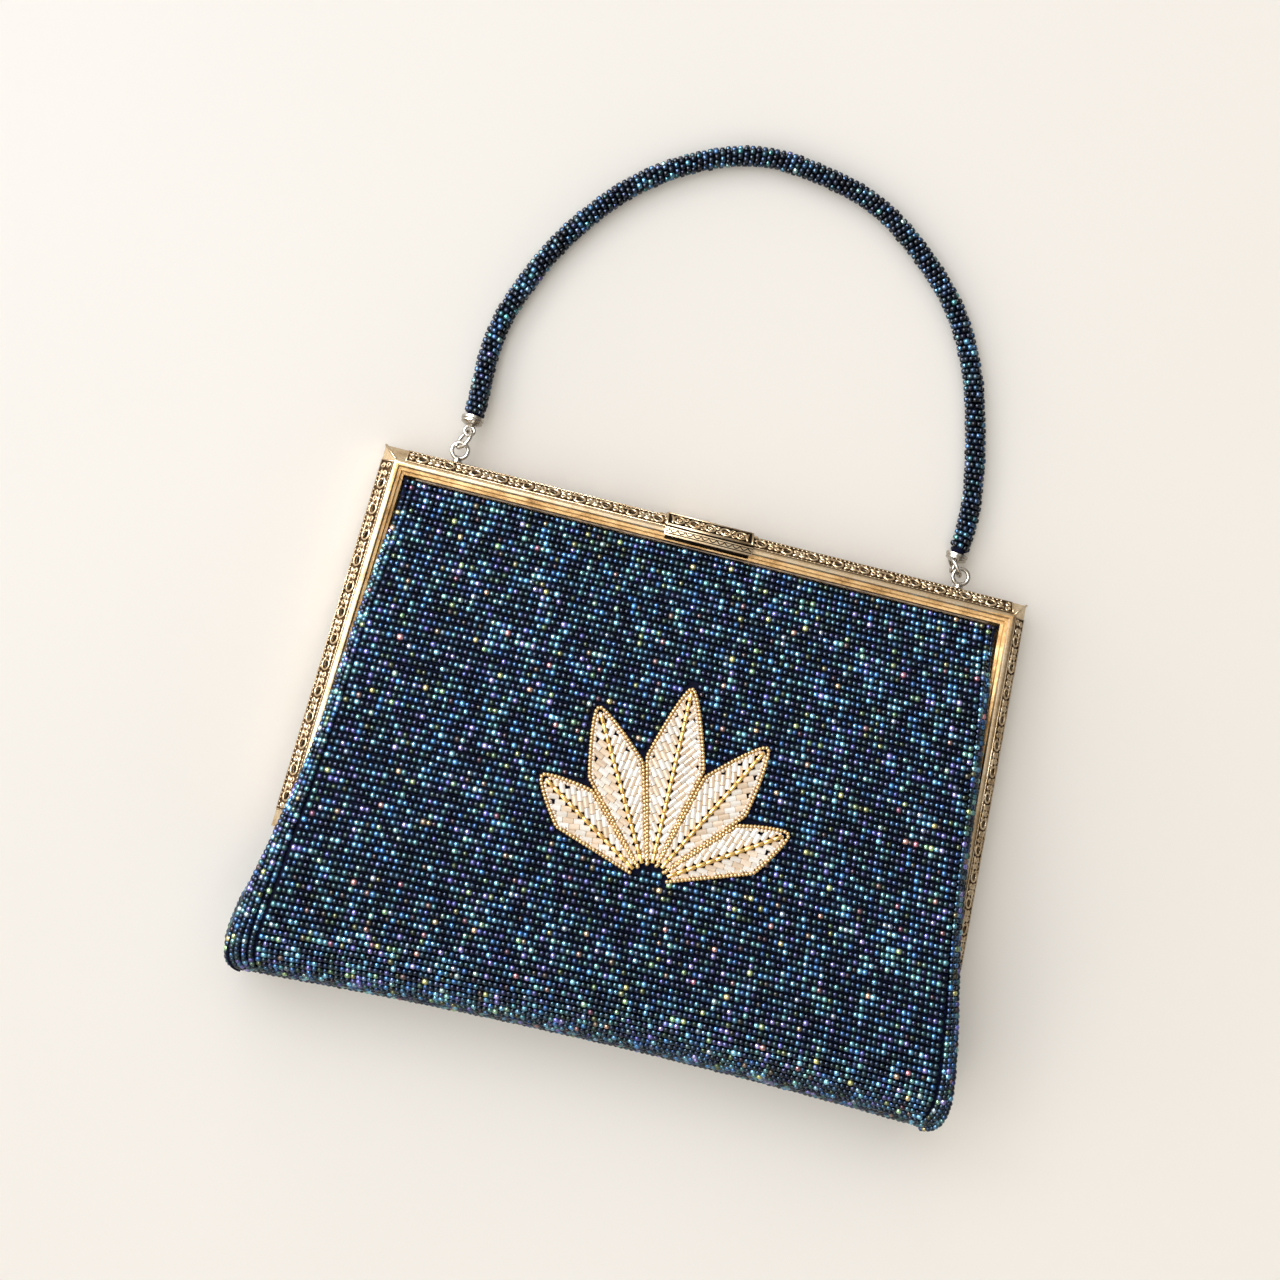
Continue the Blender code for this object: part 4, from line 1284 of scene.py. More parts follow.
@dataclass(frozen=True)
class Leg:
    """A straight run of the frame's sloping band."""

    start: np.ndarray
    along: np.ndarray
    up: np.ndarray
    out: np.ndarray
    length: float
    bar: bool

    def at(self, places: np.ndarray) -> np.ndarray:
        """World points for rows of (along, up the slope from its middle, out)."""
        return self.start + places[:, :1] * self.along + places[:, 1:2] * self.up + places[:, 2:] * self.out


@dataclass(frozen=True)
class FrameForm:
    """Sizes of the frame's half, as its solid has them."""

    width: float = 199.0 * MM
    arm_drop: float = 117.0 * MM
    splay: float = math.radians(2.7)
    band: float = 7.6 * MM
    half: float = 7.0 * MM
    slope_low: tuple[float, float] = (0.000, 0.290)
    slope_high: tuple[float, float] = (0.515, 0.945)

    def slope(self) -> tuple[np.ndarray, np.ndarray, float]:
        """Middle of the sloping band, its direction upwards and its width, in the profile."""
        size = np.array([self.band, self.half])
        low, high = np.array(self.slope_low) * size, np.array(self.slope_high) * size
        return (low + high) / 2, unit(high - low), float(np.linalg.norm(high - low))

    def legs(self, facing: float) -> list[Leg]:
        """Finds the band's runs on one half.

        Args:
            facing: 1 for the front half and -1 for the back.

        Returns:
            The top bar, the right arm and the left arm.
        """
        middle, run, _ = self.slope()
        across, down, proud = PLANE.axes()
        inner = self.width / 2 + middle[0] * math.tan(self.splay) - middle[0] / math.cos(self.splay)
        s, c = math.sin(self.splay), math.cos(self.splay)
        arm = (self.arm_drop - middle[0]) / c
        normal = np.array([-run[1], run[0]])
        legs = []
        for side, along, inwards, length in (
            (-1, across, down, 2 * inner),
            (1, across * s + down * c, -across * c + down * s, arm),
            (-1, -across * s + down * c, across * c + down * s, arm),
        ):
            start = PLANE.place(np.array([side * inner, middle[0], middle[1] * facing]))
            up = inwards * run[0] + proud * run[1] * facing
            out = inwards * normal[0] + proud * normal[1] * facing
            legs.append(Leg(start, along, up, out, length, bar=not legs))
        return legs


@dataclass
class WireWork:
    """Fine raised lines that follow a metal face, made as one mesh."""

    chains: list[tuple[np.ndarray, np.ndarray]] = field(default_factory=list)

    def add(self, points: np.ndarray, radii: np.ndarray | float) -> None:
        """Adds a line, with a radius for all of it or one at each point."""
        self.chains.append((points, np.broadcast_to(radii, len(points))))

    def mesh(self, name: str, sides_step: int = 0) -> bmesh.types.BMesh:
        """Makes the lines solid and closed.

        Args:
            name: Name of the curve while it is made.
            sides_step: Steps of the round section: 0 for four sides, 1 for six.

        Returns:
            The lines as a bmesh.
        """
        curve = bpy.data.curves.new(name, "CURVE")
        curve.dimensions = "3D"
        curve.bevel_depth = 1.0
        curve.bevel_resolution = sides_step
        curve.use_fill_caps = True
        for points, radii in self.chains:
            spline = curve.splines.new("POLY")
            spline.points.add(len(points) - 1)
            places = np.concatenate([points, np.ones((len(points), 1))], axis=1)
            spline.points.foreach_set("co", places.ravel())
            spline.points.foreach_set("radius", np.asarray(radii, float))
        holder = bpy.data.objects.new(name, curve)
        bpy.context.scene.collection.objects.link(holder)
        bpy.context.view_layer.update()
        shown = holder.evaluated_get(bpy.context.evaluated_depsgraph_get())
        mesh = bpy.data.meshes.new_from_object(shown)
        bpy.data.objects.remove(holder)
        bpy.data.curves.remove(curve)
        bm = bmesh.new()
        bm.from_mesh(mesh)
        bpy.data.meshes.remove(mesh)
        bmesh.ops.remove_doubles(bm, verts=bm.verts, dist=MERGE)
        bmesh.ops.recalc_face_normals(bm, faces=bm.faces)
        return bm


def curl(centre: tuple[float, float], start: float, turns: float, wide: float, tight: float,
         steps: int = 13) -> np.ndarray:
    """Draws a spiral in a band, from its wide end to its tight end.

    Args:
        centre: Its middle.
        start: The angle of its wide end.
        turns: How many times it goes round.
        wide: Radius at its wide end.
        tight: Radius at its tight end.
        steps: Its points.

    Returns:
        Rows of (along, up).
    """
    share = np.linspace(0, 1, steps)
    angle = start + turns * math.tau * share
    radius = wide + (tight - wide) * share**0.8
    return np.stack([centre[0] + radius * np.cos(angle), centre[1] + radius * np.sin(angle)], axis=1)


@dataclass
class ScrollBand:
    """Cast scrolls along a sloping band: rings, curls, leaves and stems between two rails."""

    pitch: float = 8.0 * MM
    margin: float = 9.0 * MM
    wire: float = 0.37 * MM
    corner: float = 2.6 * MM
    relief: float = 0.14 * MM
    # How far inside the band's edge each rail runs, and its radius
    low_rail: tuple[float, float] = (0.22 * MM, 0.17 * MM)
    high_rail: tuple[float, float] = (0.30 * MM, 0.22 * MM)
    end_wire: float = 0.24 * MM
    # Pairs of small curls fill what is left of a leg beside its repeats
    fill_pitch: float = 2.2 * MM
    fill_aside: float = 1.15 * MM
    fill_wire: float = 0.85
    edge_clear: float = 0.55 * MM
    strokes: int = 6

    def dress(self, work: WireWork, leg: Leg, width: float) -> None:
        """Adds the scrolls and rails of one leg.

        Args:
            work: Takes the lines.
            leg: The band's run.
            width: The band's width.
        """
        half = width / 2
        count, first = self.count(leg)
        ends = self.ends(leg)
        for height, radius in ((-half + self.low_rail[0], self.low_rail[1]),
                               (half - self.high_rail[0], self.high_rail[1])):
            self.lay(work, leg, np.array([[ends[0], height], [ends[1], height]]), radius)
        for end in ends:
            bar = np.array([[end, -half + 0.2 * MM], [end, half - 0.25 * MM]])
            self.lay(work, leg, bar, self.end_wire)
        for k in range(count):
            self.unit(work, leg, first + k * self.pitch, half, 1.0 if k % 2 else -1.0)
        after = (first + (count - 0.5) * self.pitch, ends[1])
        low, high = after if leg.bar else (ends[0], first - self.pitch / 2)
        curls = max(1, round((high - low) / self.fill_pitch))
        for k in range(curls):
            x = low + (k + 0.5) * (high - low) / curls
            for way in (-1.0, 1.0):
                loop = curl((x, way * self.fill_aside), math.radians(90 * way), 1.1, 1.0 * MM, 0.35 * MM, 12)
                self.lay(work, leg, loop, self.fill_wire * self.wire)

    def count(self, leg: Leg) -> tuple[int, float]:
        """How many repeats a leg has, and where the first lies, as its gaps do."""
        count = int((leg.length - 2 * self.margin) / self.pitch) + 1
        return count, (leg.length - (count - 1) * self.pitch) / 2

    def ends(self, leg: Leg) -> tuple[float, float]:
        """Where the scrolls begin and end along a leg: close to each corner but the top left one."""
        count, first = self.count(leg)
        low, high = first - self.pitch * 0.56, first + (count - 0.44) * self.pitch
        return (low, leg.length - self.corner) if leg.bar else (self.corner, high)

    def unit(self, work: WireWork, leg: Leg, middle: float, half: float, way: float) -> None:
        """Adds one repeat round a gap.

        Args:
            work: Takes the lines.
            leg: The band's run.
            middle: Where the repeat lies along it.
            half: Half the band's width.
            way: 1 as drawn, and -1 turned over.
        """
        top = half - self.edge_clear
        taper = np.linspace(1.15, 0.75, 13)[:12]
        ring = curl((0.0, 0.0), math.radians(200), 1.02, 1.95 * MM, 1.25 * MM, 15)
        small = curl((2.9 * MM, 0.62 * MM), math.radians(-110), 1.15, 1.05 * MM, 0.34 * MM, 12)
        other = curl((-2.9 * MM, -0.62 * MM), math.radians(70), 1.15, 1.05 * MM, 0.34 * MM, 12)
        leaf = np.array([[2.0, -1.45], [2.7, -1.05], [3.4, -0.95], [4.2, -1.25]]) * MM
        leaf_taper = np.array([0.6, 1.7, 1.5, 0.5])
        stem = np.array([[-4.0, 1.2], [-3.2, 1.35], [-2.3, 1.05], [-1.5, 1.35], [-0.6, 1.5]]) * MM
        for k in range(self.strokes):
            for side in (-1.0, 1.0):
                x = (k - (self.strokes - 1) / 2) * self.pitch / self.strokes
                stroke = np.array([[x, side * (top + 0.3 * MM)], [x + 0.35 * MM, side * (top - 0.35 * MM)]])
                self.lay(work, leg, stroke + [middle, 0.0], np.array([0.75, 0.45]) * self.wire)
        for chain, radii in ((ring, np.linspace(1.2, 0.8, 15)), (small, taper), (other, taper),
                             (leaf, leaf_taper), (-leaf, leaf_taper),
                             (stem, np.array([0.5, 1.2, 0.9, 1.2, 0.5]))):
            flat = chain * [1.0, way]
            flat[:, 1] = np.clip(flat[:, 1], -top, top)
            self.lay(work, leg, flat + [middle, 0.0], radii * self.wire)

    def lay(self, work: WireWork, leg: Leg, flat: np.ndarray, radii: np.ndarray | float) -> None:
        """Lays a flat line on the leg, half sunk in its face.

        Args:
            work: Takes the line.
            leg: The band's run.
            flat: Rows of (along, up).
            radii: Its radius, or one for each row.
        """
        lifted = np.concatenate([flat, np.full((len(flat), 1), self.relief)], axis=1)
        work.add(leg.at(lifted), radii)


@dataclass
class MetalFrame:
    """Both halves of the frame with their scrolls, and the hinges."""

    form: FrameForm = field(default_factory=FrameForm)
    scrolls: ScrollBand = field(default_factory=ScrollBand)
    rounding: float = 0.26 * MM
    hinge_rounding: float = 0.12 * MM
    mitre_wire: float = 0.40 * MM
    clasp_half: float = 12.9 * MM
    # Painted shadow at the flap's foot: a black rod where the gap there lies in shade
    painted_shadow_drop: float = 6.85 * MM
    painted_shadow_proud: float = 5.2 * MM
    painted_shadow_wire: float = 0.32 * MM
    # Shares of the band, from its outer edge: where its scrolls, the crest and the painted shadow of the gap
    # below it lie
    scrolls_end: float = 0.53
    crest_end: float = 0.735
    gap: tuple[float, float] = (0.80, 0.92)
    # A face this nearly level with the band belongs to it, and one under this height is inside
    level: float = 0.985
    inside: float = -0.1 * MM

    def build(self) -> None:
        """Makes the halves, the black rod of painted shadow at the flap's foot, and the hinges."""
        gilt = [metal.material() for metal in FRAME_METALS]
        for word, facing in (("front", 1.0), ("back", -1.0)):
            bm = copy_of_node("frame_" + word, self.rounding, 3)
            legs = self.form.legs(facing)
            self.cut(bm, legs)
            self.paint(bm, legs, facing)
            piece = finish_piece("frame_metal_" + word, bm, gilt, smooth=35)
            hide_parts("frame_" + word)
            self.make_scrolls("frame_scrolls_" + word, legs)
        self.make_painted_shadow()
        for word in ("left", "right"):
            bm = copy_of_node("frame_hinge_" + word, self.hinge_rounding)
            piece = finish_piece("hinge_" + word, bm, [YELLOW_GILT.material()], smooth=35)
            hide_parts("frame_hinge_" + word)

    def cut(self, bm: bmesh.types.BMesh, legs: list[Leg]) -> None:
        """Cuts edges where a finish or a painted shade ends: at the scrolls' ends, and beside the flap.

        Args:
            bm: The half's mesh.
            legs: Its runs, the top bar first.
        """
        bar = legs[0]
        places = [(leg, end) for leg in legs for end in self.scrolls.ends(leg)]
        places += [(bar, bar.length / 2 + side * self.clasp_half) for side in (-1.0, 1.0)]
        for leg, place in places:
            bmesh.ops.bisect_plane(bm, geom=[*bm.verts, *bm.edges, *bm.faces], dist=MERGE,
                                   plane_co=leg.start + leg.along * place, plane_no=leg.along)

    def make_scrolls(self, name: str, legs: list[Leg]) -> None:
        """Makes one half's scrolls, with a wire over each mitre.

        Args:
            name: The piece's name.
            legs: The half's runs, the top bar first.
        """
        _, run, width = self.form.slope()
        work = WireWork()
        for leg in legs:
            self.scrolls.dress(work, leg, width)
        for way, end in ((1.0, 0.0), (-1.0, legs[0].length)):
            lean = way * run[0] * width / 2
            mitre = np.array([[end - lean, -width / 2], [end + lean, width / 2]])
            self.scrolls.lay(work, legs[0], mitre, self.mitre_wire)
        finish_piece(name, work.mesh("scrolls"), [SILVER_GILT.material()], smooth=180)

    def make_painted_shadow(self) -> None:
        """Makes the black line of painted shadow that stands for the shaded gap at the flap's foot."""
        work = WireWork()
        ends = np.array([[side * self.clasp_half, self.painted_shadow_drop, self.painted_shadow_proud] for side in (-1, 1)])
        work.add(PLANE.place(ends), self.painted_shadow_wire)
        finish_piece("clasp_painted_shadow", work.mesh("painted_shadow", 1), [SHADOW_PAINTED_BLACK.material()], smooth=180)

    def paint(self, bm: bmesh.types.BMesh, legs: list[Leg], facing: float) -> None:
        """Gives the band's ground its painted shade, the crest and outer wall the paler gilt, and the gap
        under the flap its painted black shadow.

        Args:
            bm: The half's mesh.
            legs: Its runs.
            facing: 1 for the front half and -1 for the back.
        """
        across, down, proud = PLANE.axes()
        origin = PLANE.place(np.zeros(3))
        band = self.form.band
        for face in bm.faces:
            centre = np.array(face.calc_center_median())
            normal = np.array(face.normal)
            near = 0.0
            for leg in legs:
                low, high = self.scrolls.ends(leg)
                if low < float((centre - leg.start) @ leg.along) < high:
                    near = max(near, abs(float(normal @ leg.out)))
            local = centre - origin
            drop, aside = float(local @ down), abs(float(local @ across))
            high = float(local @ proud) * facing
            arm = self.form.width / 2 + drop * math.tan(self.form.splay) - aside
            inwards = min(drop, arm * math.cos(self.form.splay))
            metal = YELLOW_GILT
            # The step under the flap's rim is painted black as the flap's shadow
            if aside < self.clasp_half and self.gap[0] * band < drop < self.gap[1] * band:
                metal = SHADOW_PAINTED_BLACK
            # The band's sunken ground between the scrolls takes the painted shade
            elif near > self.level and inwards < self.scrolls_end * band:
                metal = SHADE_PAINTED_GILT
            elif inwards < self.crest_end * band and high > self.inside:
                metal = SILVER_GILT
            face.material_index = FRAME_METALS.index(metal)


@dataclass
class ClaspFlap:
    """The openwork flap that turns on a pin over the middle of the top."""

    form: FrameForm = field(default_factory=FrameForm)
    width: float = 27.0 * MM
    sheet: float = 1.2 * MM
    wire: float = 0.35 * MM
    curl_wire: float = 0.22 * MM
    rounding: float = 0.14 * MM
    pin_rounding: float = 0.08 * MM
    # A face this nearly level with the frame's slope is the flap's sunken ground, painted black as shade
    level: float = 0.985
    # The relief: rings at this pitch, with curls between them
    rings: int = 5
    pitch: float = 4.8 * MM
    end_leaf: float = 11.6 * MM
    # Painted shade in the rim's hollows: black rods along a row of scallops and a straight line below it
    rim_proud: float = 8.5 * MM
    rim_crease: float = 5.75 * MM
    rim_end: float = 0.3 * MM
    scallop_top: float = 4.45 * MM
    scallop_depth: float = 0.85 * MM
    scallop_pitch: float = 2.4 * MM
    crease_wire: float = 0.16 * MM
    crease_points: int = 133

    def build(self) -> None:
        """Makes the flap with its ground in painted shade, its relief, the painted shade in its creases, and
        its pin.
        """
        gilt, black = SILVER_GILT.material(), SHADOW_PAINTED_BLACK.material()
        bm = copy_of_node("clasp_flap", self.rounding)
        leg = self.form.legs(1.0)[0]
        # The flap's sunken ground is painted black as shade between its relief
        for face in bm.faces:
            if float(np.array(face.normal) @ leg.out) > self.level:
                face.material_index = 1
        piece = finish_piece("clasp_metal", bm, [gilt, black], body="clasp", smooth=35)
        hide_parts("clasp_flap")
        work = WireWork()
        self.relief(work, leg)
        finish_piece("clasp_scrolls", work.mesh("clasp_scrolls", 1), [gilt], body="clasp", smooth=180)
        creases = WireWork()
        self.creases(creases)
        finish_piece("clasp_crease_shade", creases.mesh("clasp_crease_shade", 1), [black], body="clasp", smooth=180)
        bm = copy_of_node("clasp_pin", self.pin_rounding)
        pin = finish_piece("clasp_pin_metal", bm, [gilt], smooth=35)
        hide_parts("clasp_pin")

    def creases(self, work: WireWork) -> None:
        """Adds black rods of painted shade along the hollows of the rim."""
        reach = self.width / 2 - self.rim_end
        across = np.linspace(-reach, reach, self.crease_points)
        proud = np.full(len(across), self.rim_proud)
        wave = np.abs(np.sin(math.pi * across / self.scallop_pitch))
        for drop in (self.scallop_top + self.scallop_depth * wave, np.full(len(across), self.rim_crease)):
            work.add(PLANE.place(np.stack([across, drop, proud], axis=1)), self.crease_wire)

    def relief(self, work: WireWork, leg: Leg) -> None:
        """Adds flowers, curls, rails and end leaves on the sloping face.

        Args:
            work: Takes the lines.
            leg: The top bar's run, over which the flap lies.
        """
        lift = self.sheet + 0.06 * MM

        def lay(flat: np.ndarray, radii: np.ndarray | float) -> None:
            """Lays a line, in millimetres from the flap's middle, on its slope."""
            middle = flat * MM + [leg.length / 2, 0.0]
            work.add(leg.at(np.concatenate([middle, np.full((len(flat), 1), lift)], axis=1)), radii)

        half = self.form.slope()[2] / 2 / MM
        end = self.width / 2 / MM - 0.35
        pitch = self.pitch / MM
        top, low = half + 0.25, -half + 0.1
        for height, radius in ((low, 0.26), (top, 0.26), (top - 0.55, 0.16)):
            lay(np.array([[-end, height], [end, height]]), radius * MM)
        for side in (-1.0, 1.0):
            lay(np.array([[side * end, low], [side * end, top]]), 0.32 * MM)
        for k in range(self.rings):
            x = (k - (self.rings - 1) / 2) * pitch
            way = 1.0 if k % 2 else -1.0
            lay(curl((0.0, 0.0), 0.4, 1.05, 1.85, 1.45, 16) * [1.0, way] + [x, 0.0], self.wire)
            for petal in range(0 if k % 2 else 5):
                angle = petal * math.tau / 5
                ray = np.array([math.cos(angle), math.sin(angle)])
                lay(np.array([0.25 * ray, 0.8 * ray]) + [x, 0.0], np.array([0.20, 0.38]) * MM)
        for k in range(self.rings - 1):
            x = (k - (self.rings - 2) / 2) * pitch
            way = 1.0 if k % 2 else -1.0
            for up in (way, -way):
                lay(curl((x, 1.15 * up), math.radians(-90 * up), 1.1, 0.85, 0.30, 10), self.curl_wire)
        for side in (-1.0, 1.0):
            x = side * self.end_leaf / MM
            lay(np.array([[x, 1.9], [x - side * 0.3, 0.6], [x - side * 0.1, -0.8], [x + side * 0.4, -1.9]]),
                np.array([0.2, 0.5, 0.45, 0.2]) * MM)


def spin_round(bm: bmesh.types.BMesh, outline: list, steps: int, place: Matrix) -> None:
    """Spins an outline about Z, merges what meets and moves the shape to its place.

    Args:
        bm: Holds the outline and takes the shape.
        outline: The outline's points and edges.
        steps: Steps round.
        place: Where the shape lies.
    """
    kept = set(bm.verts) - set(outline)
    bmesh.ops.spin(bm, geom=outline, cent=(0, 0, 0), axis=(0, 0, 1), angle=math.tau, steps=steps,
                   use_merge=True)
    bmesh.ops.remove_doubles(bm, verts=[v for v in bm.verts if v not in kept], dist=MERGE)
    bmesh.ops.transform(bm, matrix=place, verts=[v for v in bm.verts if v not in kept])


def ring_mesh(bm: bmesh.types.BMesh, place: Matrix, radius: float, wire: float, steps: int = 40,
              sides: int = 12) -> None:
    """Adds a wire ring in the XY plane of a placement.

    Args:
        bm: Takes the ring.
        place: Where it lies.
        radius: Middle radius.
        wire: Wire's radius.
        steps: Steps round the ring.
        sides: Sides of the wire.
    """
    upright = Matrix.Translation((radius, 0, 0)) @ Matrix.Rotation(math.pi / 2, 4, "X")
    made = bmesh.ops.create_circle(bm, segments=sides, radius=wire, matrix=upright)["verts"]
    spin_round(bm, made + list({e for v in made for e in v.link_edges}), steps, place)


def turned_mesh(bm: bmesh.types.BMesh, place: Matrix, profile: Sequence[tuple[float, float]],
                steps: int) -> None:
    """Adds a turned shape.

    Args:
        bm: Takes the shape.
        place: Where it stands, about its own Z.
        profile: Places (radius, height) down its outer side.
        steps: Steps round.
    """
    chain = [bm.verts.new((radius, 0.0, height)) for radius, height in profile]
    spin_round(bm, chain + [bm.edges.new(pair) for pair in zip(chain, chain[1:])], steps, place)


def standing(foot: np.ndarray, up: Vector, across: Vector) -> Matrix:
    """A placement with its Z along up and its X along across."""
    placed = Matrix((across, up.cross(across), up)).transposed().to_4x4()
    placed.translation = Vector(foot)
    return placed


def lying(centre: np.ndarray | Vector, x_axis: Sequence[float], y_axis: Sequence[float]) -> Matrix:
    """A placement with its X along x_axis and its Y as near y_axis as it can be."""
    x = Vector(x_axis).normalized()
    return standing(centre, x.cross(Vector(y_axis)).normalized(), x)


@dataclass
class RopeHandle:
    """The rope of seed beads wound round a core, and the silver fittings that hold it."""

    radius: float = 3.3 * MM
    core_clear: float = 1.35 * MM
    rise: float = 113.2 * MM
    left_end: float = 14.94 * MM
    right_end: float = 11.09 * MM
    half_spread: float = 78.0 * MM
    points: int = 44
    fine_points: int = 900
    # The beads wind round the core: rise of a turn, and beads in it
    winding: float = 1.80 * MM
    around: float = 8.6
    slope: float = 0.09
    # How far beads differ: angle round the rope, tilt, and place in and out and along
    angle_spread: float = 0.03
    tilt: float = 0.08
    proud_stray: float = 0.12 * MM
    along_stray: float = 0.1 * MM
    bead: SeedBead = field(default_factory=lambda: SeedBead(
        radius=0.98 * MM, length=1.55 * MM, length_spread=0.05, girth_spread=0.06, largest=1.12))
    # The route from each end: share of the half spread, share of the rise, height in rope radii
    left: tuple = ((-0.982, 0.0000, 1.88), (-0.980, 0.0760, 1.45), (-0.983, 0.1682, 1.12),
                   (-0.974, 0.2604, 1.0), (-0.948, 0.3525, 1.0), (-0.861, 0.5231, 1.0),
                   (-0.740, 0.6797, 1.0), (-0.583, 0.8179, 1.0), (-0.384, 0.9274, 1.0),
                   (-0.148, 0.9954, 1.0))
    right: tuple = ((0.104, 0.9890, 1.0), (0.346, 0.9413, 1.0), (0.554, 0.8382, 1.0), (0.730, 0.7085, 1.0),
                    (0.853, 0.5500, 1.0), (0.926, 0.3792, 1.0), (0.972, 0.2217, 1.0), (0.988, 0.0976, 1.0),
                    (0.978, 0.0000, 1.06))

    def line(self) -> np.ndarray:
        """Points of the rope's middle line, as its solid has them."""
        knots = []
        for route, low in ((self.left, self.left_end), (self.right, self.right_end)):
            for across, rise, height in route:
                knots.append([across * self.half_spread, PLANE.top_y + low + rise * (self.rise - low),
                              height * self.radius])
        knots = np.array(knots)
        return catmull(knots, np.linspace(0, len(knots) - 1, self.points))

    def build(self) -> None:
        """Makes the core and the beads round it."""
        coarse = self.line()
        core = WireWork()
        core.add(coarse, self.radius - self.core_clear)
        cloth = WovenBacking("navy_cord_core").material()
        piece = finish_piece("handle_core", core.mesh("core", 3), [cloth], smooth=180)
        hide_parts("handle_rope")
        lot = self.wind(catmull(coarse, np.linspace(0, len(coarse) - 1, self.fine_points)))
        place_piece("handle_beads", lot.mesh("handle_beads", self.bead.template()),
                    [IrisSeedBead(BeadTone.ROPE).material()], smooth=None)

    def wind(self, fine: np.ndarray) -> BeadLot:
        """Winds the beads round a line.

        Args:
            fine: Points of the line.

        Returns:
            The beads.
        """
        length = lengths(fine)
        ahead = unit(np.gradient(fine, axis=0))
        side = unit(np.cross(ahead, [0.0, 0.0, 1.0]))
        up = np.cross(side, ahead)
        count = int((length[-1] - self.winding) / self.winding * self.around)
        rng = np.random.default_rng(11)
        place = self.winding / 2 + np.arange(count) / self.around * self.winding
        angle = np.arange(count) / self.around * math.tau + rng.normal(0, self.angle_spread, count)
        cos, sin = np.cos(angle)[:, None], np.sin(angle)[:, None]
        middle, sides, ups, aheads = (read_along(length, place, part) for part in (fine, side, up, ahead))
        out = sides * cos + ups * sin
        tangent = ups * cos - sides * sin + aheads * self.slope
        sizes = self.bead.sizes(rng, count)
        proud = self.radius - self.bead.radius + rng.uniform(-1, 1, (count, 1)) * self.proud_stray
        shift = rng.uniform(-1, 1, (count, 1)) * self.along_stray
        lot = BeadLot()
        along = tangent + rng.normal(0, self.tilt, (count, 3))
        lot.add(middle + out * proud + aheads * shift, along, out, sizes, bead_numbers(rng, count))
        return lot


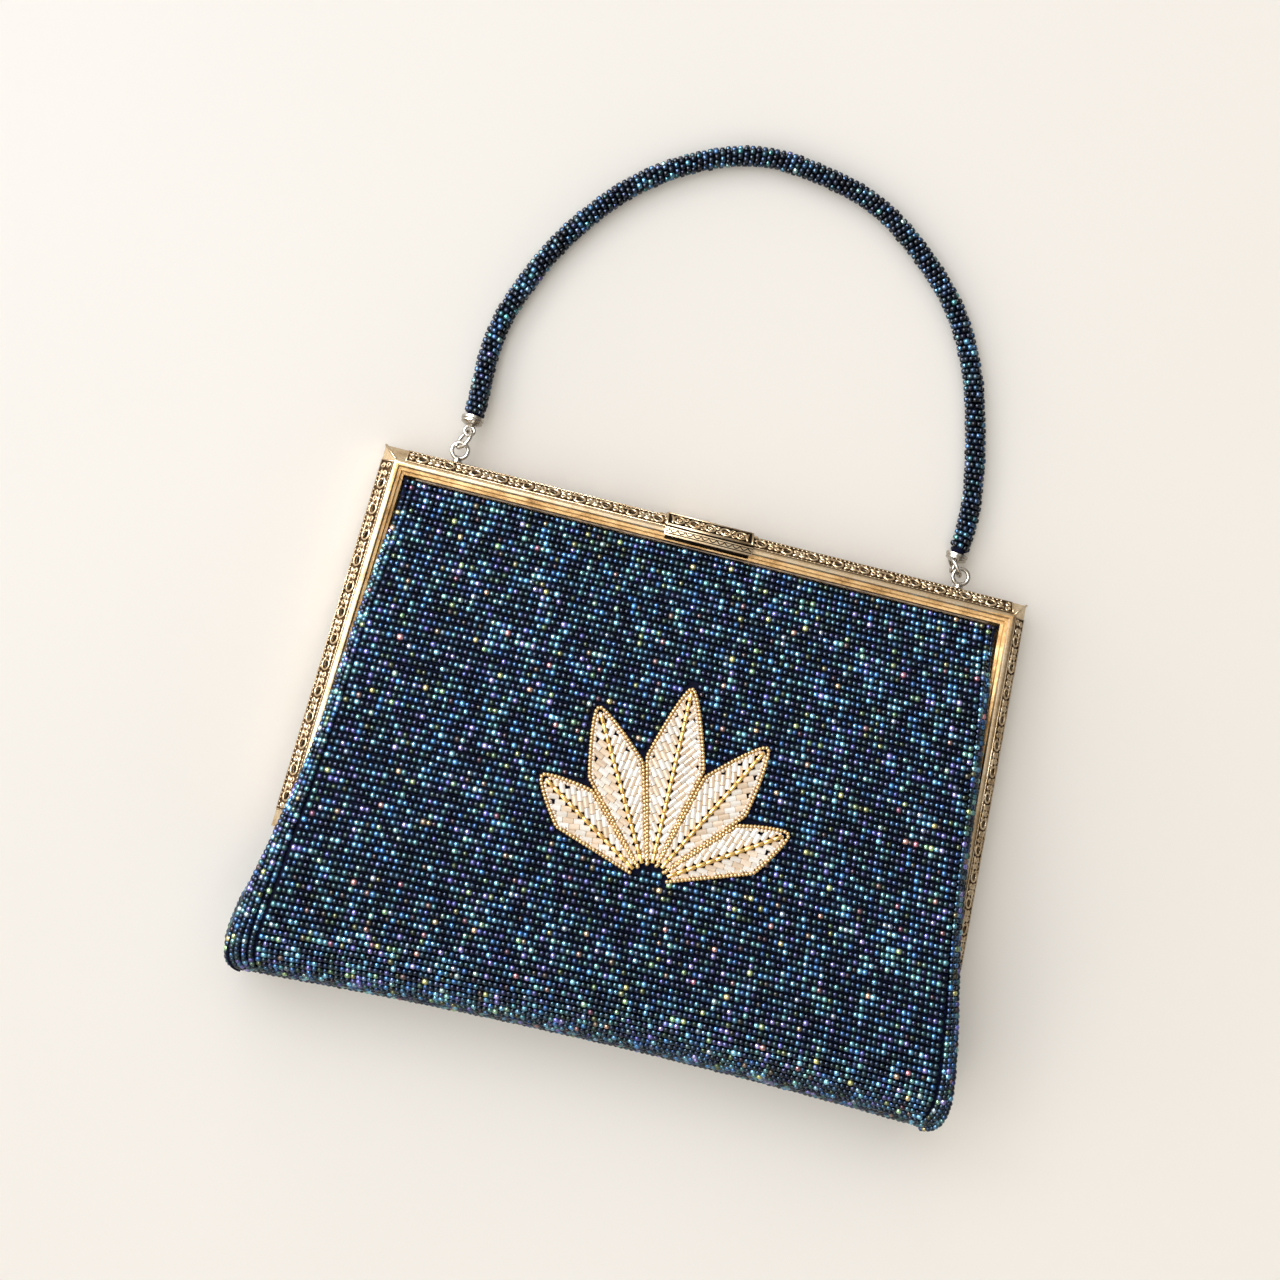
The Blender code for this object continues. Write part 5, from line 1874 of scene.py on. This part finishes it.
@dataclass
class SilverFittings:
    """Eyes on the frame, jump rings, and the caps on the rope's ends."""

    rope: RopeHandle = field(default_factory=RopeHandle)
    eye_radius: float = 2.4 * MM
    eye_wire: float = 0.62 * MM
    eye_rise: float = 3.9 * MM
    eye_proud: float = 1.2 * MM
    collar: float = 1.4 * MM
    ring_radius: float = 3.1 * MM
    ring_wire: float = 0.58 * MM
    cap_radius: float = 3.4 * MM
    cap_depth: float = 2.9 * MM
    cap_eye: float = 1.45 * MM
    cap_wire: float = 0.5 * MM
    # How far the cap stands off the rope's end, and the collar's foot sinks under its ring
    cap_gap: float = 0.3 * MM
    foot_sink: float = 0.3 * MM

    def build(self) -> None:
        """Makes the fittings of both sides."""
        silver = [SILVER_PLATE.material()]
        line = self.rope.line()
        across, down, _ = PLANE.axes()
        for word, side in (("left", -1.0), ("right", 1.0)):
            end, before = (line[0], line[1]) if side < 0 else (line[-1], line[-2])
            away = unit(end - before)
            start = end + away * self.cap_gap
            eye = PLANE.place(np.array([side * self.rope.half_spread, -self.eye_rise, self.eye_proud]))
            cap_eye = start + away * (self.cap_depth + self.cap_eye)
            pieces = {
                "frame_eye_": self.eye(eye, across, down),
                "handle_cap_": self.cap(start, away, cap_eye, side),
                "jump_ring_": self.ring(eye, cap_eye, side),
            }
            for node, bm in pieces.items():
                bmesh.ops.recalc_face_normals(bm, faces=bm.faces)
                piece = finish_piece("silver_" + node + word, bm, silver, smooth=40)
                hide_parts(node + word)

    def eye(self, centre: np.ndarray, across: np.ndarray, down: np.ndarray) -> bmesh.types.BMesh:
        """Makes a ring on a ridged collar.

        Args:
            centre: The ring's middle.
            across: Direction across the bag.
            down: Direction down the bag.

        Returns:
            The mesh.
        """
        bm = bmesh.new()
        ring_mesh(bm, lying(centre, across, -down), self.eye_radius, self.eye_wire)
        foot = self.eye_rise - self.foot_sink
        tall = foot - (self.eye_radius - self.eye_wire * 0.2)
        shares = ((0.0, 1.0), (0.7, 1.0), (0.82, 0.88), (0.7, 0.76), (1.0, 0.62), (1.0, 0.5), (0.8, 0.42),
                  (1.1, 0.28), (1.1, 0.0), (0.0, 0.0))
        profile = [(self.collar * wide, tall * high) for wide, high in shares]
        turned_mesh(bm, standing(centre + down * foot, Vector(-down), Vector(across)), profile, 24)
        return bm

    def cap(self, start: np.ndarray, away: np.ndarray, eye: np.ndarray, side: float) -> bmesh.types.BMesh:
        """Makes a stepped cap with a small eye under it.

        Args:
            start: Middle of its open end.
            away: Direction away from the rope.
            eye: Middle of its eye.
            side: 1 for the right side and -1 for the left.

        Returns:
            The mesh.
        """
        bm = bmesh.new()
        shares = ((0.0, 0.0), (0.94, 0.0), (1.0, 0.05), (1.0, 0.30), (0.95, 0.36), (0.90, 0.38),
                  (0.90, 0.46), (0.955, 0.50), (0.94, 0.60), (0.78, 0.74), (0.50, 0.86), (0.34, 0.94),
                  (0.26, 1.10), (0.0, 1.10))
        profile = [(self.cap_radius * wide, -self.cap_depth * deep) for wide, deep in shares]
        back = Vector(-away)
        turned_mesh(bm, standing(start, back, back.orthogonal().normalized()), profile, 36)
        up = Vector((0.0, 0.0, 1.0))
        # The left eye lies on its side and the right one stands, as the rings in them need
        flat = up if side < 0 else Vector(away).cross(up)
        ring_mesh(bm, lying(eye, away, flat.cross(Vector(away))), self.cap_eye, self.cap_wire, 28, 10)
        return bm

    def ring(self, eye: np.ndarray, cap: np.ndarray, side: float) -> bmesh.types.BMesh:
        """Makes a jump ring through both eyes.

        Args:
            eye: Middle of the frame's eye.
            cap: Middle of the cap's eye.
            side: 1 for the right side and -1 for the left.

        Returns:
            The mesh.
        """
        bm = bmesh.new()
        if side < 0:
            along = Vector((0.25, 0.91, -0.33)).normalized()
            aside = Vector((0.39, -0.10, 0.92))
            middle = Vector(cap) - along * self.ring_radius
        else:
            middle = Vector(cap) + Vector((0.0, 0.0, self.ring_radius))
            along = Vector((eye[0] - middle.x, eye[1] - middle.y, 0.0)).normalized()
            aside = Vector((0.0, 0.0, 1.0))
        ring_mesh(bm, lying(middle, along, aside), self.ring_radius, self.ring_wire)
        return bm


@dataclass
class Selvage:
    """The thin cream edge of the cloth that shows along the frame's inner lip."""

    drop: float = 8.15 * MM
    proud: float = 4.75 * MM
    half_across: float = 88.5 * MM
    radius: float = 0.22 * MM
    fleck: float = 1.43 * MM
    points: int = 60

    def build(self) -> None:
        """Makes the edge on the front and the back."""
        # Unbleached cotton: matte, with flecks of a darker thread
        material, tree, shader = start_material("cream_cotton_edge", {"Roughness": 0.9})
        place = add_node(tree, "TexCoord").outputs["Object"]
        noise = add_node(tree, "TexNoise", {"Scale": 1 / self.fleck}, Vector=place)
        colour = ramp(tree, noise.outputs[0], [(0.35, "6E5E50"), (0.65, "A8947C")])
        tree.links.new(colour, shader.inputs["Base Color"])
        work = WireWork()
        across = np.linspace(-self.half_across, self.half_across, self.points)
        drop = np.full(self.points, self.drop)
        for facing in (1.0, -1.0):
            proud = np.full(self.points, self.proud * facing)
            work.add(PLANE.place(np.stack([across, drop, proud], axis=1)), self.radius)
        finish_piece("cloth_edge", work.mesh("edge", 1), [material], smooth=180)


# Stage


@dataclass
class Studio:
    """The pale table, the soft light and the camera above the bag."""

    target: tuple[float, float, float] = (-0.0122, 0.0420, 0.008)
    distance: float = 0.65
    # Width of the view at the target, and of the camera's sensor in millimetres
    span: float = 0.3845
    sensor: float = 36.0
    turn: float = math.radians(13.9)
    tilt_left: float = math.radians(4.4)
    table_half: float = 3.0
    table_mottle: float = 0.333
    # Each lamp: name, direction from the bag, distance, size, power, colour, and whether it is a glint
    lamps: tuple = (("window", (-0.75, 0.50, 1.0), 1.2, 0.90, 2.2, "C8DCFF", False),
                    ("glint_left", (-0.78, 0.42, 0.85), 0.65, 0.55, 17.0, "F2F7FF", True),
                    ("glint_low", (-0.60, -0.45, 1.2), 0.9, 0.25, 2.6, "FFFFFF", True))

    def build(self) -> None:
        """Makes the camera first, then the table and the lights."""
        scene = bpy.context.scene
        target = Vector(self.target)
        toward = Vector((-math.sin(self.tilt_left), 0.0, 1.0)).normalized()
        up = Vector((-math.sin(self.turn), math.cos(self.turn), 0.0))
        right = up.cross(toward).normalized()
        turned = Matrix((right, toward.cross(right), toward)).transposed().to_4x4()
        turned.translation = target + toward * self.distance
        data = bpy.data.cameras.new("camera")
        data.sensor_width = self.sensor
        data.lens = self.sensor * self.distance / self.span
        data.clip_start = 0.05
        camera = bpy.data.objects.new("camera", data)
        camera.matrix_world = turned
        scene.collection.objects.link(camera)
        scene.camera = camera
        self.table()
        self.room()
        self.lights(target)
        scene.view_settings.view_transform = "Standard"

    def table(self) -> None:
        """A warm white painted board, almost plain."""
        paint = {"Roughness": 0.8, "Specular IOR Level": 0.2}
        material, tree, shader = start_material("warm_white_table", paint)
        place = add_node(tree, "TexCoord").outputs["Object"]
        noise = add_node(tree, "TexNoise", {"Scale": 1 / self.table_mottle, "Detail": 2.0}, Vector=place)
        colour = ramp(tree, noise.outputs[0], [(0.3, "EFECE5"), (0.7, "F3F0EA")])
        tree.links.new(colour, shader.inputs["Base Color"])
        bm = bmesh.new()
        bmesh.ops.create_grid(bm, x_segments=1, y_segments=1, size=self.table_half)
        mesh = bpy.data.meshes.new("table")
        bm.to_mesh(mesh)
        bm.free()
        mesh.materials.append(material)
        board = bpy.data.objects.new("table", mesh)
        bpy.context.scene.collection.objects.link(board)

    def room(self) -> None:
        """A pale room with brighter and darker parts, for the metal to reflect."""
        world = bpy.data.worlds.new("room")
        world.use_nodes = True
        tree = world.node_tree
        back = tree.nodes["Background"]
        back.inputs[0].default_value = linear("FFFAF4")
        way = add_node(tree, "TexCoord").outputs["Generated"]
        noise = add_node(tree, "TexNoise", {"Scale": 2.2, "Detail": 1.0}, Vector=way)
        power = add_node(tree, "MapRange", {1: 0.47, 2: 0.60, 3: 0.32, 4: 1.76}, i0=noise.outputs[0])
        # The room is brighter on the window's side
        across = add_node(tree, "SeparateXYZ", None, i0=way).outputs[0]
        side = add_node(tree, "MapRange", {1: -0.8, 2: 0.8, 3: 1.62, 4: 0.38}, i0=across)
        both = add_node(tree, "Math", {"operation": "MULTIPLY"}, i0=power.outputs[0], i1=side.outputs[0])
        tree.links.new(both.outputs[0], back.inputs[1])
        bpy.context.scene.world = world

    def lights(self, target: Vector) -> None:
        """A soft window at the upper left, and glints that show as highlights only.

        Args:
            target: What the lamps point at.
        """
        for name, toward, far, size, watts, code, glint in self.lamps:
            data = bpy.data.lights.new(name, "AREA")
            data.shape = "SQUARE"
            data.size = size
            data.energy = watts
            data.color = linear(code)[:3]
            lamp = bpy.data.objects.new(name, data)
            # A glint only shows as a highlight, as a small bright thing in the room does
            lamp.visible_diffuse = not glint
            away = Vector(toward).normalized()
            lamp.location = target + away * far
            lamp.rotation_euler = away.to_track_quat("Z", "Y").to_euler()
            bpy.context.scene.collection.objects.link(lamp)


def main() -> None:
    """Builds the stage and each part of the bag in order."""
    logging.basicConfig(level=logging.INFO, format="%(message)s")
    Studio().build()
    fan = LeafFan()
    fan.prepare()
    BeadedBody().build(fan)
    BeadedGussets().build()
    fan.build()
    Selvage().build()
    MetalFrame().build()
    ClaspFlap().build()
    RopeHandle().build()
    SilverFittings().build()


if __name__ == "__main__":
    main()
